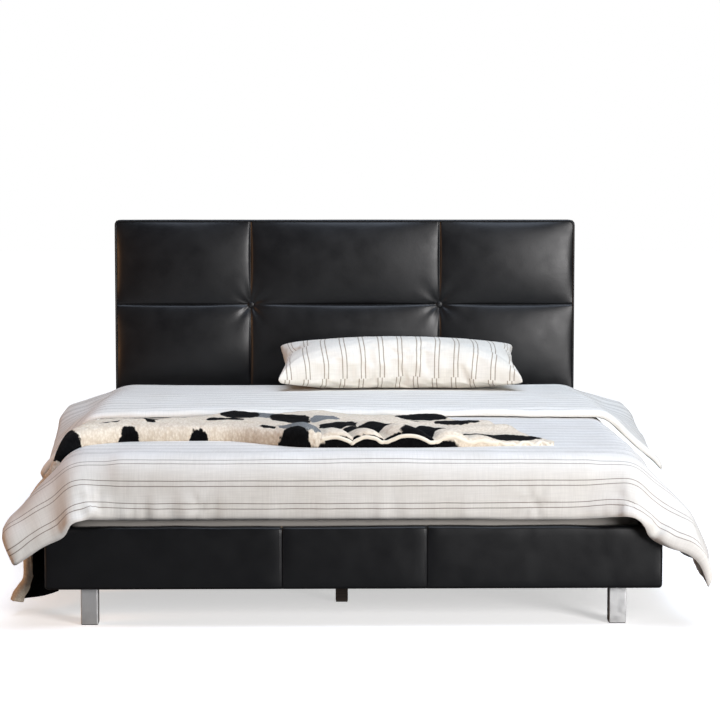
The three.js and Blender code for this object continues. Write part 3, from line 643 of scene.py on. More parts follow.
@dataclass(frozen=True)
class Plastic:
    """Moulded nylon or polyurethane foam: an even, slightly grained surface."""

    name: str
    colour: str
    roughness: float
    grain: float

    def make(self) -> bpy.types.Material:
        """Makes the material."""
        material, tree = new_material(self.name)
        where = add_node(tree, "TexCoord").outputs["Object"]
        cells = add_node(tree, "TexVoronoi", {"Vector": where, "Scale": 1 / self.grain}).outputs["Distance"]
        clouds = noise(tree, where, 25, 3)
        lit = ranged(tree, clouds, (0.0, 1.0), (0.8, 1.1))
        tone = blended(tree, 1.0, linear(self.colour), lit, "MULTIPLY")
        bump = bumped(tree, cells, 0.3, 0.0006)
        return finished(material, {"Base Color": tone, "Roughness": self.roughness, "Normal": bump})


# ---------------------------------------------------------------- the frame


@dataclass
class Rail:
    """A rail's leather, wrapped over its padding and board and turned in behind them."""

    node: str
    along: int  # the axis it runs along
    outward: int  # -1 or 1, which way its outer face looks on the other level axis
    seams: tuple[float, ...] = ()
    rounding: float = 0.0092
    crown: float = 0.0022  # how far the padding swells the face out between its edges
    turn_in: float = 0.060
    lip: float = 0.0032

    def build(self, leather: bpy.types.Material, thread: bpy.types.Material) -> list[bpy.types.Object]:
        """Builds the wrapped leather and the stitches beside its sewn joins."""
        low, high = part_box(self.node)
        depth_axis = 1 - self.along
        bm = box_body(low, high, self.rounding)
        places = list(evenly(low[self.along] + self.rounding, high[self.along] - self.rounding, 0.014))
        for seam in self.seams:
            steps = (-0.009, -0.006, -0.004, -0.002, -0.0005, 0.0005, 0.002, 0.004, 0.006, 0.009)
            places += [seam + step for step in steps]
        cut_across(bm, self.along, np.array(places))
        levels = [*evenly(low.z + self.rounding, high.z - self.rounding, 0.016)]
        levels += [low.z + self.turn_in, high.z - self.turn_in]
        cut_across(bm, 2, np.array(levels))
        inward = [
            face
            for face in bm.faces
            if face.normal[depth_axis] * self.outward < -0.99
            and low.z + self.turn_in < face.calc_center_median().z < high.z - self.turn_in
        ]
        raised = bmesh.ops.extrude_face_region(bm, geom=inward)
        bmesh.ops.delete(bm, geom=inward, context="FACES")
        push = Vector((0, 0, 0))
        push[depth_axis] = self.outward * self.lip
        bmesh.ops.translate(bm, vec=push, verts=[v for v in raised["geom"] if isinstance(v, bmesh.types.BMVert)])
        piece = make_object(bm, self.node.replace("cover", "leather"), leather)
        points = coordinates(piece.data)
        middle, half = (low.z + high.z) / 2, (high.z - low.z) / 2
        face = high[depth_axis] if self.outward > 0 else low[depth_axis]
        near = 1 - smooth_step(np.abs(points[:, depth_axis] - face), 0.0, 0.018)
        run, height = points[:, self.along], points[:, 2]
        sink = self.crown * np.abs((height - middle) / half) ** 3
        sink += 0.0011 * (1 + lattice_noise(run * 9, height * 14, 5))
        sink += 0.0004 * (1 + lattice_noise(run * 40, height * 30, 6))
        for seam in self.seams:
            sink += 0.0030 * hump(run, seam, 0.0022) + 0.0022 * hump(run, seam, 0.013)
        points[:, depth_axis] -= self.outward * sink * near
        top = smooth_step(points[:, 2], high.z - 0.03, high.z)
        points[:, 2] -= top * 0.0012 * (1 + lattice_noise(run * 11, height * 0, 7))
        for seam in self.seams:
            points[:, 2] -= top * 0.0012 * hump(run, seam, 0.004)
        set_coordinates(piece.data, points)
        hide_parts(self.node, self.node.replace("cover", "padding"))
        made = [piece]
        if self.seams:
            made.append(self.stitches(low, high, thread))
        return made

    def stitches(self, low: Vector, high: Vector, thread: bpy.types.Material) -> bpy.types.Object:
        """Two rows of stitches beside each sewn join, 5 mm apart."""
        bm = bmesh.new()
        depth_axis = 1 - self.along
        face = high[depth_axis] if self.outward > 0 else low[depth_axis]
        middle, half = (low.z + high.z) / 2, (high.z - low.z) / 2
        for seam in self.seams:
            for side in (-0.0052, 0.0052):
                for level in np.arange(low.z + 0.014, high.z - 0.012, 0.0058):
                    sink = self.crown * abs((level - middle) / half) ** 3 + 0.0022
                    place = Vector((0, 0, level))
                    place[self.along] = seam + side
                    place[depth_axis] = face - self.outward * (sink - 0.0001)
                    size = Matrix.Diagonal((0.0006, 0.0006, 0.0020, 1))
                    bmesh.ops.create_icosphere(bm, subdivisions=1, radius=1, matrix=Matrix.Translation(place) @ size)
        return make_object(bm, self.node.replace("cover", "stitches"), thread)


@dataclass
class Headboard:
    """The upright headboard: puffed leather panels, tufted at two points, with a corded edge and a side band."""

    seam_x: float = 0.333
    seam_z: float = 0.731
    panel_foot: float = 0.430  # where the puffed panels end, behind the mattress
    puff: float = 0.020
    edge: float = 0.0085  # the outline to the seam round the front
    corner: float = 0.017
    tuft_depth: float = 0.013
    tuft_spread: float = 0.034

    def build(self, leather: bpy.types.Material, thread: bpy.types.Material) -> list[bpy.types.Object]:
        """Builds the front, the edge with its band, and the staples on the back."""
        self.low, self.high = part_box("headboard_cover")
        self.plane = self.low.y + self.puff
        front = surface("headboard_front", 162, 126, self.front, leather)
        subdivide(front)
        band = surface("headboard_band", 520, 22, self.band, leather, merge=True)
        cover = join("headboard_leather", [front, band])
        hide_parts("headboard_cover", "headboard_foam")
        return [cover, self.staples(thread)]

    def rounded(self, x: np.ndarray, z: np.ndarray, inset: float) -> tuple[np.ndarray, np.ndarray]:
        """Pulls the points in each square corner on to a round one."""
        radius = self.corner - inset * 0.6
        half, middle = self.high.x - inset, (self.low.z + self.high.z) / 2
        tall = self.high.z - middle - inset
        dx = np.maximum(np.abs(x) - (half - radius), 0)
        dz = np.maximum(np.abs(z - middle) - (tall - radius), 0)
        length = np.maximum(np.hypot(dx, dz), 1e-9)
        pull = np.where((dx > 0) & (dz > 0), np.maximum(dx, dz) / length, 1.0)
        new_x = np.sign(x) * (np.abs(x) - dx + dx * pull)
        new_z = middle + np.sign(z - middle) * (np.abs(z - middle) - dz + dz * pull)
        return new_x, new_z

    @staticmethod
    def rise(distance: np.ndarray, half: np.ndarray) -> np.ndarray:
        """How a panel swells away from a seam: quickly at first, then ever more slowly to its middle."""
        near = 1 - np.exp(-distance / 0.013)
        broad = 1 - (1 - np.clip(distance / half, 0, 1)) ** 2.15
        return 0.25 * near + 0.75 * broad

    def front(self, u: np.ndarray, v: np.ndarray) -> tuple[np.ndarray, np.ndarray]:
        """Where the front leather lies."""
        edge_x, edge_z = self.high.x - self.edge, self.high.z - self.edge
        foot = self.low.z + self.edge

        def spaced(t: np.ndarray, marks: list[float]) -> tuple[np.ndarray, np.ndarray, np.ndarray]:
            """Places between marks, closer beside each mark; and the distance to the nearest, and half its panel."""
            panels = len(marks) - 1
            panel = np.clip(np.floor(t * panels).astype(int), 0, panels - 1)
            share = t * panels - panel
            share = share - 0.86 * np.sin(2 * math.pi * share) / (2 * math.pi)
            start, end = np.array(marks)[panel], np.array(marks)[panel + 1]
            place = start + (end - start) * share
            return place, np.minimum(place - start, end - place), (end - start) / 2

        x, gap_x, half_x = spaced(u, [-edge_x, -self.seam_x, self.seam_x, edge_x])
        z, gap_z, half_z = spaced(v, [foot, self.panel_foot, self.seam_z, edge_z])
        swell = self.rise(gap_x, half_x) * self.rise(gap_z, half_z)
        swell = np.where(z < self.panel_foot, 0, swell)
        depth = self.puff * swell
        depth -= 0.0026 * np.exp(-((gap_x / 0.0036) ** 2)) * (np.abs(x) < edge_x - 0.01)
        depth -= 0.0026 * np.exp(-((gap_z / 0.0036) ** 2)) * (z > foot + 0.01) * (z < edge_z - 0.01)
        ripple = 0.0006 * lattice_noise(x * 7, z * 7, 11) + 0.00022 * lattice_noise(x * 30, z * 30, 12)
        pucker = 0.0005 * lattice_noise(x * 24, z * 24, 13) * np.exp(-np.minimum(gap_x, gap_z) / 0.022)
        depth += (ripple + pucker) * np.clip(swell * 3, 0, 1)
        for side in (-1, 1):
            dx, dz = x - side * self.seam_x, z - self.seam_z
            far = np.hypot(dx, dz)
            angle = np.arctan2(dz, dx)
            depth = depth * (1 - 0.62 * np.exp(-((far / 0.075) ** 1.4)))
            depth -= self.tuft_depth * np.exp(-((far / self.tuft_spread) ** 1.7))
            folds = np.cos(angle * 9 + side) * 0.6 + np.cos(angle * 5 - 1.3 * side) * 0.5
            depth += 0.0016 * folds * smooth_step(far, 0.010, 0.026) * np.exp(-((far / 0.075) ** 1.5))
        x, z = self.rounded(x, z, self.edge)
        y = self.plane - depth
        return np.column_stack([x, y, z]), np.column_stack([x, z])

    def band(self, u: np.ndarray, v: np.ndarray) -> tuple[np.ndarray, np.ndarray]:
        """Where the edge lies, from its seam on the front, round the cord and the side, and on to the back."""
        profile = np.array(
            [
                (0.0112, 0.0045), (0.0086, 0.0020), (0.0074, -0.0012), (0.0052, -0.0030), (0.0028, -0.0026),
                (0.0010, -0.0006), (0.0003, 0.0022), (0.0012, 0.0050), (0.0018, 0.0062), (0.0010, 0.0080),
                (0.0004, 0.0130), (0.0001, 0.0220), (0.0000, 0.0340), (0.0001, 0.0460), (0.0000, 0.0580),
                (0.0003, 0.0700), (0.0010, 0.0780), (0.0024, 0.0825), (0.0052, 0.0846), (0.0100, 0.0850),
                (0.0180, 0.0850), (0.0290, 0.0848), (0.0292, 0.0830),
            ]
        )
        steps = np.linspace(0, 1, len(profile))
        inset = np.interp(v, steps, profile[:, 0])
        depth = np.interp(v, steps, profile[:, 1])
        wide, tall = self.high.x - self.corner, (self.high.z - self.low.z) / 2 - self.corner
        middle = (self.low.z + self.high.z) / 2
        arc = self.corner * math.pi / 2
        marks = np.cumsum([0, 2 * wide, arc, 2 * tall, arc, 2 * wide, arc, 2 * tall, arc])
        run = (u % 1.0) * marks[-1]
        x, z, nx, nz = (np.zeros_like(run) for _ in range(4))
        centres = [(wide, -tall), (wide, tall), (-wide, tall), (-wide, -tall)]
        starts = [(-wide, -tall, 1, 0), (wide, -tall, 0, 1), (wide, tall, -1, 0), (-wide, tall, 0, -1)]
        for i in range(4):
            on_side = (run >= marks[2 * i]) & (run < marks[2 * i + 1])
            sx, sz, dx, dz = starts[i]
            step = run - marks[2 * i]
            x, z = np.where(on_side, sx + dx * step, x), np.where(on_side, sz + dz * step, z)
            nx, nz = np.where(on_side, dz, nx), np.where(on_side, -dx, nz)
            on_arc = (run >= marks[2 * i + 1]) & (run <= marks[2 * i + 2])
            turn = (run - marks[2 * i + 1]) / self.corner + (i - 1) * math.pi / 2
            x, z = np.where(on_arc, centres[i][0], x), np.where(on_arc, centres[i][1], z)
            nx, nz = np.where(on_arc, np.cos(turn), nx), np.where(on_arc, np.sin(turn), nz)
        on_face = smooth_step(depth, 0.012, 0.03) * (1 - smooth_step(depth, 0.06, 0.08))
        inset = inset + on_face * (0.0006 * (1 + lattice_noise(run * 11, depth * 30, 21)))
        out = self.corner - inset
        points = np.column_stack([x + nx * out, self.plane + depth, middle + z + nz * out])
        return points, np.column_stack([run, depth])

    def staples(self, steel: bpy.types.Material) -> bpy.types.Object:
        """The staples that hold the leather's edge over the dust cloth on the back."""
        bm = bmesh.new()
        size = Matrix.Diagonal((0.0115, 0.0007, 0.0009, 1))
        back = self.high.y - 0.0001
        level = 0.023
        for x in np.arange(self.low.x + 0.04, self.high.x - 0.03, 0.034):
            for z in (self.low.z + level, self.high.z - level):
                place = Matrix.Translation((x, back, z)) @ Matrix.Rotation(0.35 * math.sin(x * 91), 4, "Y")
                bmesh.ops.create_cube(bm, size=1, matrix=place @ size)
        for z in np.arange(self.low.z + 0.05, self.high.z - 0.04, 0.034):
            for x in (self.low.x + level, self.high.x - level):
                place = Matrix.Translation((x, back, z)) @ Matrix.Rotation(math.pi / 2 + 0.3 * math.sin(z * 77), 4, "Y")
                bmesh.ops.create_cube(bm, size=1, matrix=place @ size)
        return make_object(bm, "headboard_staples", steel)


@dataclass
class Hardware:
    """The screws and bolts that hold the frame together."""

    screw: float = 0.0042  # head radius

    def build(self, steel: bpy.types.Material) -> list[bpy.types.Object]:
        """Builds the slat screws and the bolts of the legs and hangers."""
        screws = bmesh.new()
        for number in range(1, 13):
            low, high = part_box(f"slat_{number:02d}")
            for x in (low.x + 0.010, high.x - 0.010):
                for y in (low.y + 0.018, high.y - 0.018):
                    self.head(screws, (x, y, high.z + 0.00005), self.screw, 0.0011, "Z")
        bolts = bmesh.new()
        for end, side in (("foot", 1), ("head", -1)):
            low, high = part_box(f"beam_hanger_{end}")
            y = low.y + 0.0021 if side > 0 else high.y - 0.0021
            for x in (low.x + 0.010, high.x - 0.010):
                for z in (low.z + 0.018, high.z - 0.018):
                    self.head(bolts, (x, y, z), 0.005, 0.0018, "Y" if side > 0 else "-Y")
        for corner in ("front_left", "front_right", "rear_left", "rear_right"):
            low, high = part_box(f"leg_{corner}")
            for x in (low.x + 0.009, high.x - 0.009):
                for y in (low.y + 0.009, high.y - 0.009):
                    self.head(bolts, (x, y, high.z - 0.0031), 0.0042, 0.0016, "-Z")
        return [
            make_object(screws, "slat_screws", steel),
            make_object(bolts, "frame_bolts", steel),
        ]

    @staticmethod
    def head(bm: bmesh.types.BMesh, place: tuple[float, float, float], radius: float, height: float, way: str) -> None:
        """Adds one pan head with a hexagonal socket, looking along an axis."""
        turns = {"Z": Matrix.Identity(4), "-Z": Matrix.Rotation(math.pi, 4, "X"),
                 "Y": Matrix.Rotation(-math.pi / 2, 4, "X"), "-Y": Matrix.Rotation(math.pi / 2, 4, "X")}
        stand = Matrix.Translation(place) @ turns[way]
        made = bmesh.ops.create_cone(
            bm, cap_ends=True, segments=12, radius1=radius, radius2=radius * 0.72, depth=height,
            matrix=stand @ Matrix.Translation((0, 0, height / 2)),
        )
        up = (turns[way] @ Vector((0, 0, 1))).normalized()
        faces = {face for vert in made["verts"] for face in vert.link_faces}
        cap = [face for face in faces if face.normal.dot(up) > 0.99 or len(face.verts) == 12]
        cap = [face for face in cap if (face.calc_center_median() - Vector(place)).dot(up) > height * 0.5]
        bmesh.ops.inset_region(bm, faces=cap, thickness=radius * 0.3, depth=-height * 0.55)


# ---------------------------------------------------------------- bedding


def drape(distance: np.ndarray, radius: float | np.ndarray, angle: float | np.ndarray) -> tuple[np.ndarray, np.ndarray]:
    """How far out and how far down cloth goes over an edge: a round bend, then straight.

    Args:
        distance: Along the cloth from where the bend starts; negative before it.
        radius: The bend's radius.
        angle: How far it turns, in radians.

    Returns:
        The distances out and down.
    """
    turned = np.clip(distance / radius, 0, angle)
    straight = np.maximum(distance - radius * angle, 0)
    out = np.minimum(distance, 0) + radius * np.sin(turned) + straight * np.cos(angle)
    down = radius * (1 - np.cos(turned)) + straight * np.sin(angle)
    return out, down


@dataclass
class Mattress:
    """A quilted mattress with a taped edge at top and bottom."""

    corner: float = 0.05
    tape: float = 0.0075

    def build(self, ticking: bpy.types.Material, tape: bpy.types.Material) -> list[bpy.types.Object]:
        """Builds the quilted body and its two tapes."""
        low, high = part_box("mattress")
        self.low, self.high = low, high
        bm = square_body(low, high)
        upright = [edge for edge in bm.edges if abs(edge.verts[0].co.z - edge.verts[1].co.z) > 0.1]
        bmesh.ops.bevel(bm, geom=upright, offset=self.corner, segments=8, profile=0.5, affect="EDGES", material=-1)
        rims = [
            edge
            for edge in bm.edges
            if len(edge.link_faces) == 2 and abs(edge.link_faces[0].normal.z - edge.link_faces[1].normal.z) > 0.9
        ]
        bmesh.ops.bevel(bm, geom=rims, offset=0.016, segments=4, profile=0.5, affect="EDGES", material=-1)
        cut_across(bm, 0, evenly(low.x + 0.02, high.x - 0.02, 0.028))
        cut_across(bm, 1, evenly(low.y + 0.02, high.y - 0.02, 0.028))
        cut_across(bm, 2, evenly(low.z + 0.02, high.z - 0.02, 0.02))
        body = make_object(bm, "mattress_body", ticking)
        points = coordinates(body.data)
        x, y, z = points.T
        top = smooth_step(z, high.z - 0.02, high.z - 0.004)
        wave = np.abs(np.sin(math.pi * (x + y) / 0.17)) * np.abs(np.sin(math.pi * (x - y) / 0.17))
        inner = smooth_step(np.minimum(high.x - np.abs(x), np.minimum(y - low.y, high.y - y)), 0.01, 0.06)
        points[:, 2] -= top * inner * 0.007 * (1 - wave**0.5)
        side = 1 - smooth_step(np.abs(z - (low.z + high.z) / 2), 0.06, 0.095)
        swell = 0.004 * side * (0.6 + 0.4 * np.abs(np.sin(math.pi * (x + y) / 0.11)))
        centre = (low + high) / 2
        out = np.column_stack([x - centre.x, y - centre.y, np.zeros_like(x)])
        half = np.array([high.x - centre.x, high.y - centre.y, 1])
        rel = out / half
        pull = (0.005 - swell)[:, None] * np.sign(rel) * (np.abs(rel) > 0.985)
        pull[:, 2] = 0
        points -= pull * (np.abs(z - centre.z) < 0.09)[:, None]
        set_coordinates(body.data, points)
        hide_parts("mattress")
        levels = {"top": high.z - 0.012, "bottom": low.z + 0.012}
        tapes = [self.ring(f"mattress_tape_{name}", level, tape) for name, level in levels.items()]
        return [body, *tapes]

    def ring(self, name: str, level: float, tape: bpy.types.Material) -> bpy.types.Object:
        """A corded tape round the mattress at one level."""
        low, high, r = self.low, self.high, self.corner
        inset = self.tape
        line = []
        centres = [
            (high.x - r, low.y + r, -90), (high.x - r, high.y - r, 0),
            (low.x + r, high.y - r, 90), (low.x + r, low.y + r, 180),
        ]
        for cx, cy, start in centres:
            for step in range(9):
                angle = math.radians(start + step * 90 / 8)
                line.append((cx + (r - inset) * math.cos(angle), cy + (r - inset) * math.sin(angle), level))
        return tube(name, np.array(line), self.tape, tape, closed=True)


@dataclass
class Block:
    """A rounded block that cloth falls on while it settles. It isn't part of the bed."""

    low: tuple[float, float, float]
    high: tuple[float, float, float]
    rounding: float

    def build(self, material: bpy.types.Material) -> bpy.types.Object:
        """Builds the block, ready for cloth to meet."""
        body = make_object(box_body(Vector(self.low), Vector(self.high), self.rounding), "support", material)
        body.modifiers.new("meeting", "COLLISION")
        body.collision.thickness_outer = 0.002
        body.collision.cloth_friction = 12
        body.collision.use_culling = False
        return body


@dataclass
class Settling:
    """How a piece of cloth is let fall, or is blown up, until it rests."""

    frames: int
    bending: float
    stretch: float = 25.0
    mass: float = 0.25
    pressure: float = 0.0
    gravity: float = 1.0

    def run(self, piece: bpy.types.Object, blocks: list[Block], held: np.ndarray) -> None:
        """Runs the simulation and keeps its last shape as the mesh.

        Args:
            piece: The cloth.
            blocks: What it falls on.
            held: The vertices that stay where they are.
        """
        supports = [block.build(piece.data.materials[0]) for block in blocks]
        modifier = piece.modifiers.new("settling", "CLOTH")
        cloth = modifier.settings
        cloth.quality = 6
        cloth.mass = self.mass
        cloth.tension_stiffness = cloth.compression_stiffness = self.stretch
        cloth.shear_stiffness = self.stretch / 2
        cloth.bending_stiffness = self.bending
        cloth.tension_damping = cloth.compression_damping = cloth.shear_damping = 5
        cloth.bending_damping = 1
        cloth.air_damping = 2
        cloth.effector_weights.gravity = self.gravity
        if self.pressure:
            cloth.use_pressure = True
            cloth.uniform_pressure_force = self.pressure
        if len(held):
            group = piece.vertex_groups.new(name="held")
            group.add(held.tolist(), 1.0, "REPLACE")
            cloth.vertex_group_mass = "held"
        modifier.collision_settings.use_collision = bool(blocks)
        modifier.collision_settings.collision_quality = 3
        modifier.collision_settings.distance_min = 0.003
        modifier.point_cache.frame_end = self.frames + 5
        for frame in range(1, self.frames + 1):
            bpy.context.scene.frame_set(frame)
        bake_modifiers(piece)
        bpy.context.scene.frame_set(1)
        piece.vertex_groups.clear()
        for support in supports:
            bpy.data.objects.remove(support)


def flat_places(piece: bpy.types.Object) -> np.ndarray:
    """Each vertex's place on the flat cloth, in metres, from the piece's UV map."""
    mesh = piece.data
    layer = np.zeros(len(mesh.loops) * 2, np.float32)
    mesh.uv_layers["cloth"].data.foreach_get("uv", layer)
    corners = np.zeros(len(mesh.loops), np.int32)
    mesh.loops.foreach_get("vertex_index", corners)
    flat = np.zeros((len(mesh.vertices), 2))
    flat[corners] = layer.reshape(-1, 2)
    return flat


def lifted(points: np.ndarray, under: BVHTree, gap: float) -> np.ndarray:
    """Moves the points that lie in or on a surface out along its normals, clear of it by a gap."""
    moved = points.copy()
    for i, point in enumerate(points):
        place, normal, _, _ = under.find_nearest(Vector(point), 0.14)
        if place is None:
            continue
        offset = Vector(point) - place
        depth = offset.dot(normal)
        if depth < gap and (offset - normal * depth).length < 0.012:
            moved[i] = place + normal * gap
    return moved


@dataclass
class Duvet:
    """The striped duvet: it falls over the foot and the sides, and its head end is turned back over it."""

    top: float = 0.450
    loft: float = 0.028
    flat: float = 0.730  # half the width that lies level
    foot_face: float = 0.0197  # from the foot rail's face
    foot_hem: float = 0.283
    hang_left: float = 0.252  # cloth beyond the level part
    hang_right: float = 0.345
    foot_bend: float = 0.045
    end: float = 1.955  # where the under layer ends, inside the fold
    turned_hem: float = 0.945
    turned_hang: float = 0.275
    turned_loft: float = 0.020
    turned_fold: float = 0.010  # the fold's radius at the head
    reach: float = 0.044  # how far past the foot rail's face the cover comes before it is held back
    reach_over: float = 0.020  # how much further it can come after that

    def build(self, linen: bpy.types.Material, reverse: bpy.types.Material) -> list[bpy.types.Object]:
        """Lays both layers out, lets them settle, and gives them their filling."""
        half = self.loft / 2
        self.middle = self.top - half
        self.bend_y = self.foot_face + half + self.foot_bend
        self.foot_length = self.foot_bend * (math.pi / 2 - 1) + self.middle - self.foot_hem
        self.length = self.foot_length + self.end - self.bend_y
        under = surface("duvet_body", 108, 104, self.under, linen)
        flat = flat_places(under)
        held = np.nonzero((np.abs(flat[:, 0]) < 0.6) & (flat[:, 1] > 0.45))[0]
        front = FOOT + self.foot_face + half
        Settling(frames=44, bending=14.0).run(
            under,
            [
                Block((-0.776, front + 0.002, 0.20), (0.776, FOOT + 2.05, self.middle - 0.003), 0.055),
                Block((-0.842, FOOT - 0.008, 0.10), (0.842, FOOT + 2.15, 0.268), 0.02),
            ],
            held,
        )
        self.relax(under)
        self.flare(under, (math.radians(9), math.radians(10)), 5.0)
        flat, points = flat_places(under), coordinates(under.data)
        points[:, 2] -= 0.030 * hump(np.abs(flat[:, 0]), 0.77, 0.065) * np.exp(-((flat[:, 1] / 0.08) ** 2))
        points[:, 2] -= 0.010 * smooth_step(points[:, 1], FOOT + 1.35, FOOT + 1.85)
        set_coordinates(under.data, points)
        self.shell = self.cast(under, half + 0.001)
        subdivide(under)
        self.fill(under, self.loft, 0.040, self.work_in(flat_places(under)))
        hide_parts("duvet")
        turned = surface("duvet_turned_back", 100, 62, self.turned, reverse)
        flat = flat_places(turned)
        level = (np.abs(flat[:, 0]) < 0.55) & (flat[:, 1] > 0.12)
        held = np.nonzero(level | (flat[:, 1] > self.turned_length - 0.12))[0]
        Settling(frames=34, bending=8.0).run(
            turned,
            [
                Block((-0.800, FOOT + 0.3, 0.20), (0.800, FOOT + 2.02, self.top - 0.001), 0.055),
                Block((-0.842, FOOT - 0.002, 0.10), (0.842, FOOT + 2.15, 0.290), 0.03),
            ],
            held,
        )
        self.flare(turned, (math.radians(22), math.radians(30)), 0.9)
        points = coordinates(turned.data)
        points[:, 2] -= 0.012 * smooth_step(points[:, 1], FOOT + 1.35, FOOT + 1.85)
        above = flat[:, 1] < self.turned_length - 0.16  # short of the fold at the head
        points[above] = lifted(points[above], self.shell, 0.002)
        set_coordinates(turned.data, points)
        self.cover = self.cast(turned, self.turned_loft + 0.001)
        subdivide(turned)
        self.fill(turned, self.turned_loft, 0.03, self.ruffle(flat_places(turned)))
        return [under, turned]

    def under(self, u: np.ndarray, v: np.ndarray) -> tuple[np.ndarray, np.ndarray]:
        """The under face of the lower layer, from its foot hem to inside the fold, before it settles."""
        side = np.where(u < 0.5, -1.0, 1.0)
        share = np.abs(u - 0.5) * 2
        across = share * (self.flat + np.where(side < 0, self.hang_left, self.hang_right))
        along = v * self.length
        angle = math.radians(25)
        out, down = drape(across - self.flat, 0.12, angle)
        foot_out, foot_down = drape(self.foot_length - along, self.foot_bend, angle)
        z = self.middle + 0.003 - (down + foot_down) + 0.0006 * lattice_noise(across * side * 30, along * 30, 30)
        y = FOOT + self.bend_y - foot_out
        stretched = along + 0.009 * smooth_step(along, 0.045, 0.10) + 0.020 * smooth_step(along, 0.10, 0.175)
        return np.column_stack([side * (self.flat + out), y, z]), np.column_stack([side * across, stretched])

    def work_in(self, flat: np.ndarray) -> np.ndarray:
        """How far the cover stands proud of the lower layer's even filling: its softness and the gathers at its hem."""
        a, b = flat.T
        foot = self.bend_y + b - self.foot_length
        laid = 1 - smooth_step(foot, 0.17, 0.23)  # beyond this it lies under the throw and the part turned back
        level = 1 - smooth_step(np.abs(a), self.flat - 0.05, self.flat + 0.05)
        height = laid * (0.0030 * lattice_noise(a * 3.1, b * 4, 41) + 0.0016 * lattice_noise(a * 9, b * 11, 42))
        near_hem = np.exp(-b / 0.055)
        gathered = 0.45 + 0.9 * hump(a, -0.66, 0.25) + 0.8 * hump(a, 0.85, 0.16) + 0.6 * hump(a, 0.47, 0.09)
        pleats = 0.0110 * lattice_noise(a * 27, b * 5, 43) + 0.0040 * lattice_noise(a * 55, b * 12, 44)
        height += near_hem * gathered * pleats
        for place, up, size in ((0.47, 0.045, 1.0), (0.74, 0.040, 0.7), (-0.70, 0.045, 0.8), (-0.40, 0.035, 0.6)):
            far = np.hypot(a - place, b - up)
            angle = np.arctan2(b - up, a - place)
            spokes = 0.004 * np.cos(angle * 6 + place * 9) * smooth_step(far, 0.006, 0.018)
            knot = -0.009 * np.exp(-((far / 0.014) ** 2)) + spokes * np.exp(-((far / 0.05) ** 2))
            height += size * knot
        shown = 0.004 * lattice_noise(a * 5, b * 5, 45) + 0.002 * lattice_noise(a * 13, b * 13, 46)
        hidden = 0.003 * lattice_noise(a * 4, b * 9, 47) + 0.0015 * lattice_noise(a * 11, b * 22, 48)
        height += (1 - level) * laid * shown
        height += (1 - laid) * (1 - level) * hidden
        return height

    def cast(self, piece: bpy.types.Object, out: float) -> BVHTree:
        """The outer face of a settled layer, for what is laid on it to meet."""
        points = coordinates(piece.data) + normals(piece.data) * out
        return BVHTree.FromPolygons(points.tolist(), [list(face.vertices) for face in piece.data.polygons])

    def relax(self, piece: bpy.types.Object) -> None:
        """Evens out the creases that the corners settle into, as the filling does."""
        flat = flat_places(piece)
        across = np.abs(flat[:, 0])
        corner = np.nonzero((across > 0.62) & (across < 0.93) & (flat[:, 1] < 0.30))[0]
        with edited(piece.data) as bm:
            bm.verts.ensure_lookup_table()
            inner = [bm.verts[i] for i in corner if not bm.verts[i].is_boundary]
            for _ in range(10):
                bmesh.ops.smooth_vert(bm, verts=inner, factor=0.5, use_axis_x=True, use_axis_y=True, use_axis_z=True)

    def flare(self, piece: bpy.types.Object, angles: tuple[float, float], fade: float) -> None:
        """Turns the sides of a layer outward, as its filling holds them up.

        Args:
            piece: The settled layer.
            angles: How far the left and the right side turn.
            fade: How far from its hem the turning dies out.
        """
        flat, points = flat_places(piece), coordinates(piece.data)
        beyond = np.abs(flat[:, 0]) - self.flat - 0.02
        angle = np.where(flat[:, 0] < 0, angles[0], angles[1])
        turn = angle * smooth_step(beyond, 0.0, 0.11) * np.exp(-((flat[:, 1] / fade) ** 2))
        side = np.sign(flat[:, 0])
        dx, dz = side * points[:, 0] - 0.785, points[:, 2] - self.middle
        points[:, 0] = side * (0.785 + dx * np.cos(turn) - dz * np.sin(turn))
        points[:, 2] = self.middle + dx * np.sin(turn) + dz * np.cos(turn)
        set_coordinates(piece.data, points)

    def turned(self, u: np.ndarray, v: np.ndarray) -> tuple[np.ndarray, np.ndarray]:
        """The under face of the part turned back, from its hem to the head and round the fold, before it settles."""
        side = np.where(u < 0.5, -1.0, 1.0)
        share = np.abs(u - 0.5) * 2
        level = self.end - self.turned_hem
        radius = self.turned_fold
        fold = math.pi * radius
        self.turned_length = level + fold + 0.07
        along = v * self.turned_length
        across = share * (self.flat + self.turned_hang)
        angle = math.radians(20)
        out, down = drape(across - self.flat, 0.13, angle)
        turn = np.clip((along - level) / radius, 0, math.pi)
        y = self.turned_hem + np.minimum(along, level) + radius * np.sin(turn) - np.maximum(along - level - fold, 0)
        z = self.top + 0.003 - radius * 1.6 * (1 - np.cos(turn)) - down
        down_more = smooth_step(along, level - 0.12, level + 0.02)
        x = side * (self.flat + out * (1 - 0.15 * down_more))
        bow = 0.030 * smooth_step(across, 0.2, 0.95) * smooth_step(along, 0.35, 0.0)
        wave = 0.010 * lattice_noise(side * across * 3.3, along * 0, 51) * smooth_step(along, 0.3, 0)
        return np.column_stack([x, FOOT + y - bow + wave, z]), np.column_stack([side * across, along])

    def ruffle(self, flat: np.ndarray) -> np.ndarray:
        """How far the cover stands proud of the turned-back layer's even filling: its softness and its ruffled hem."""
        a, b = flat.T
        free = smooth_step(b, 0.62, 0.45)  # clear of the pillow
        height = free * (0.0030 * lattice_noise(a * 3.4, b * 3.4, 52) + 0.0014 * lattice_noise(a * 10, b * 10, 53))
        hem = np.exp(-b / 0.06)
        height += hem * (0.0045 * lattice_noise(a * 13, b * 5, 54) + 0.0022 * lattice_noise(a * 31, b * 9, 55))
        height -= 0.0035 * hump(b, 0.055, 0.010)
        return height

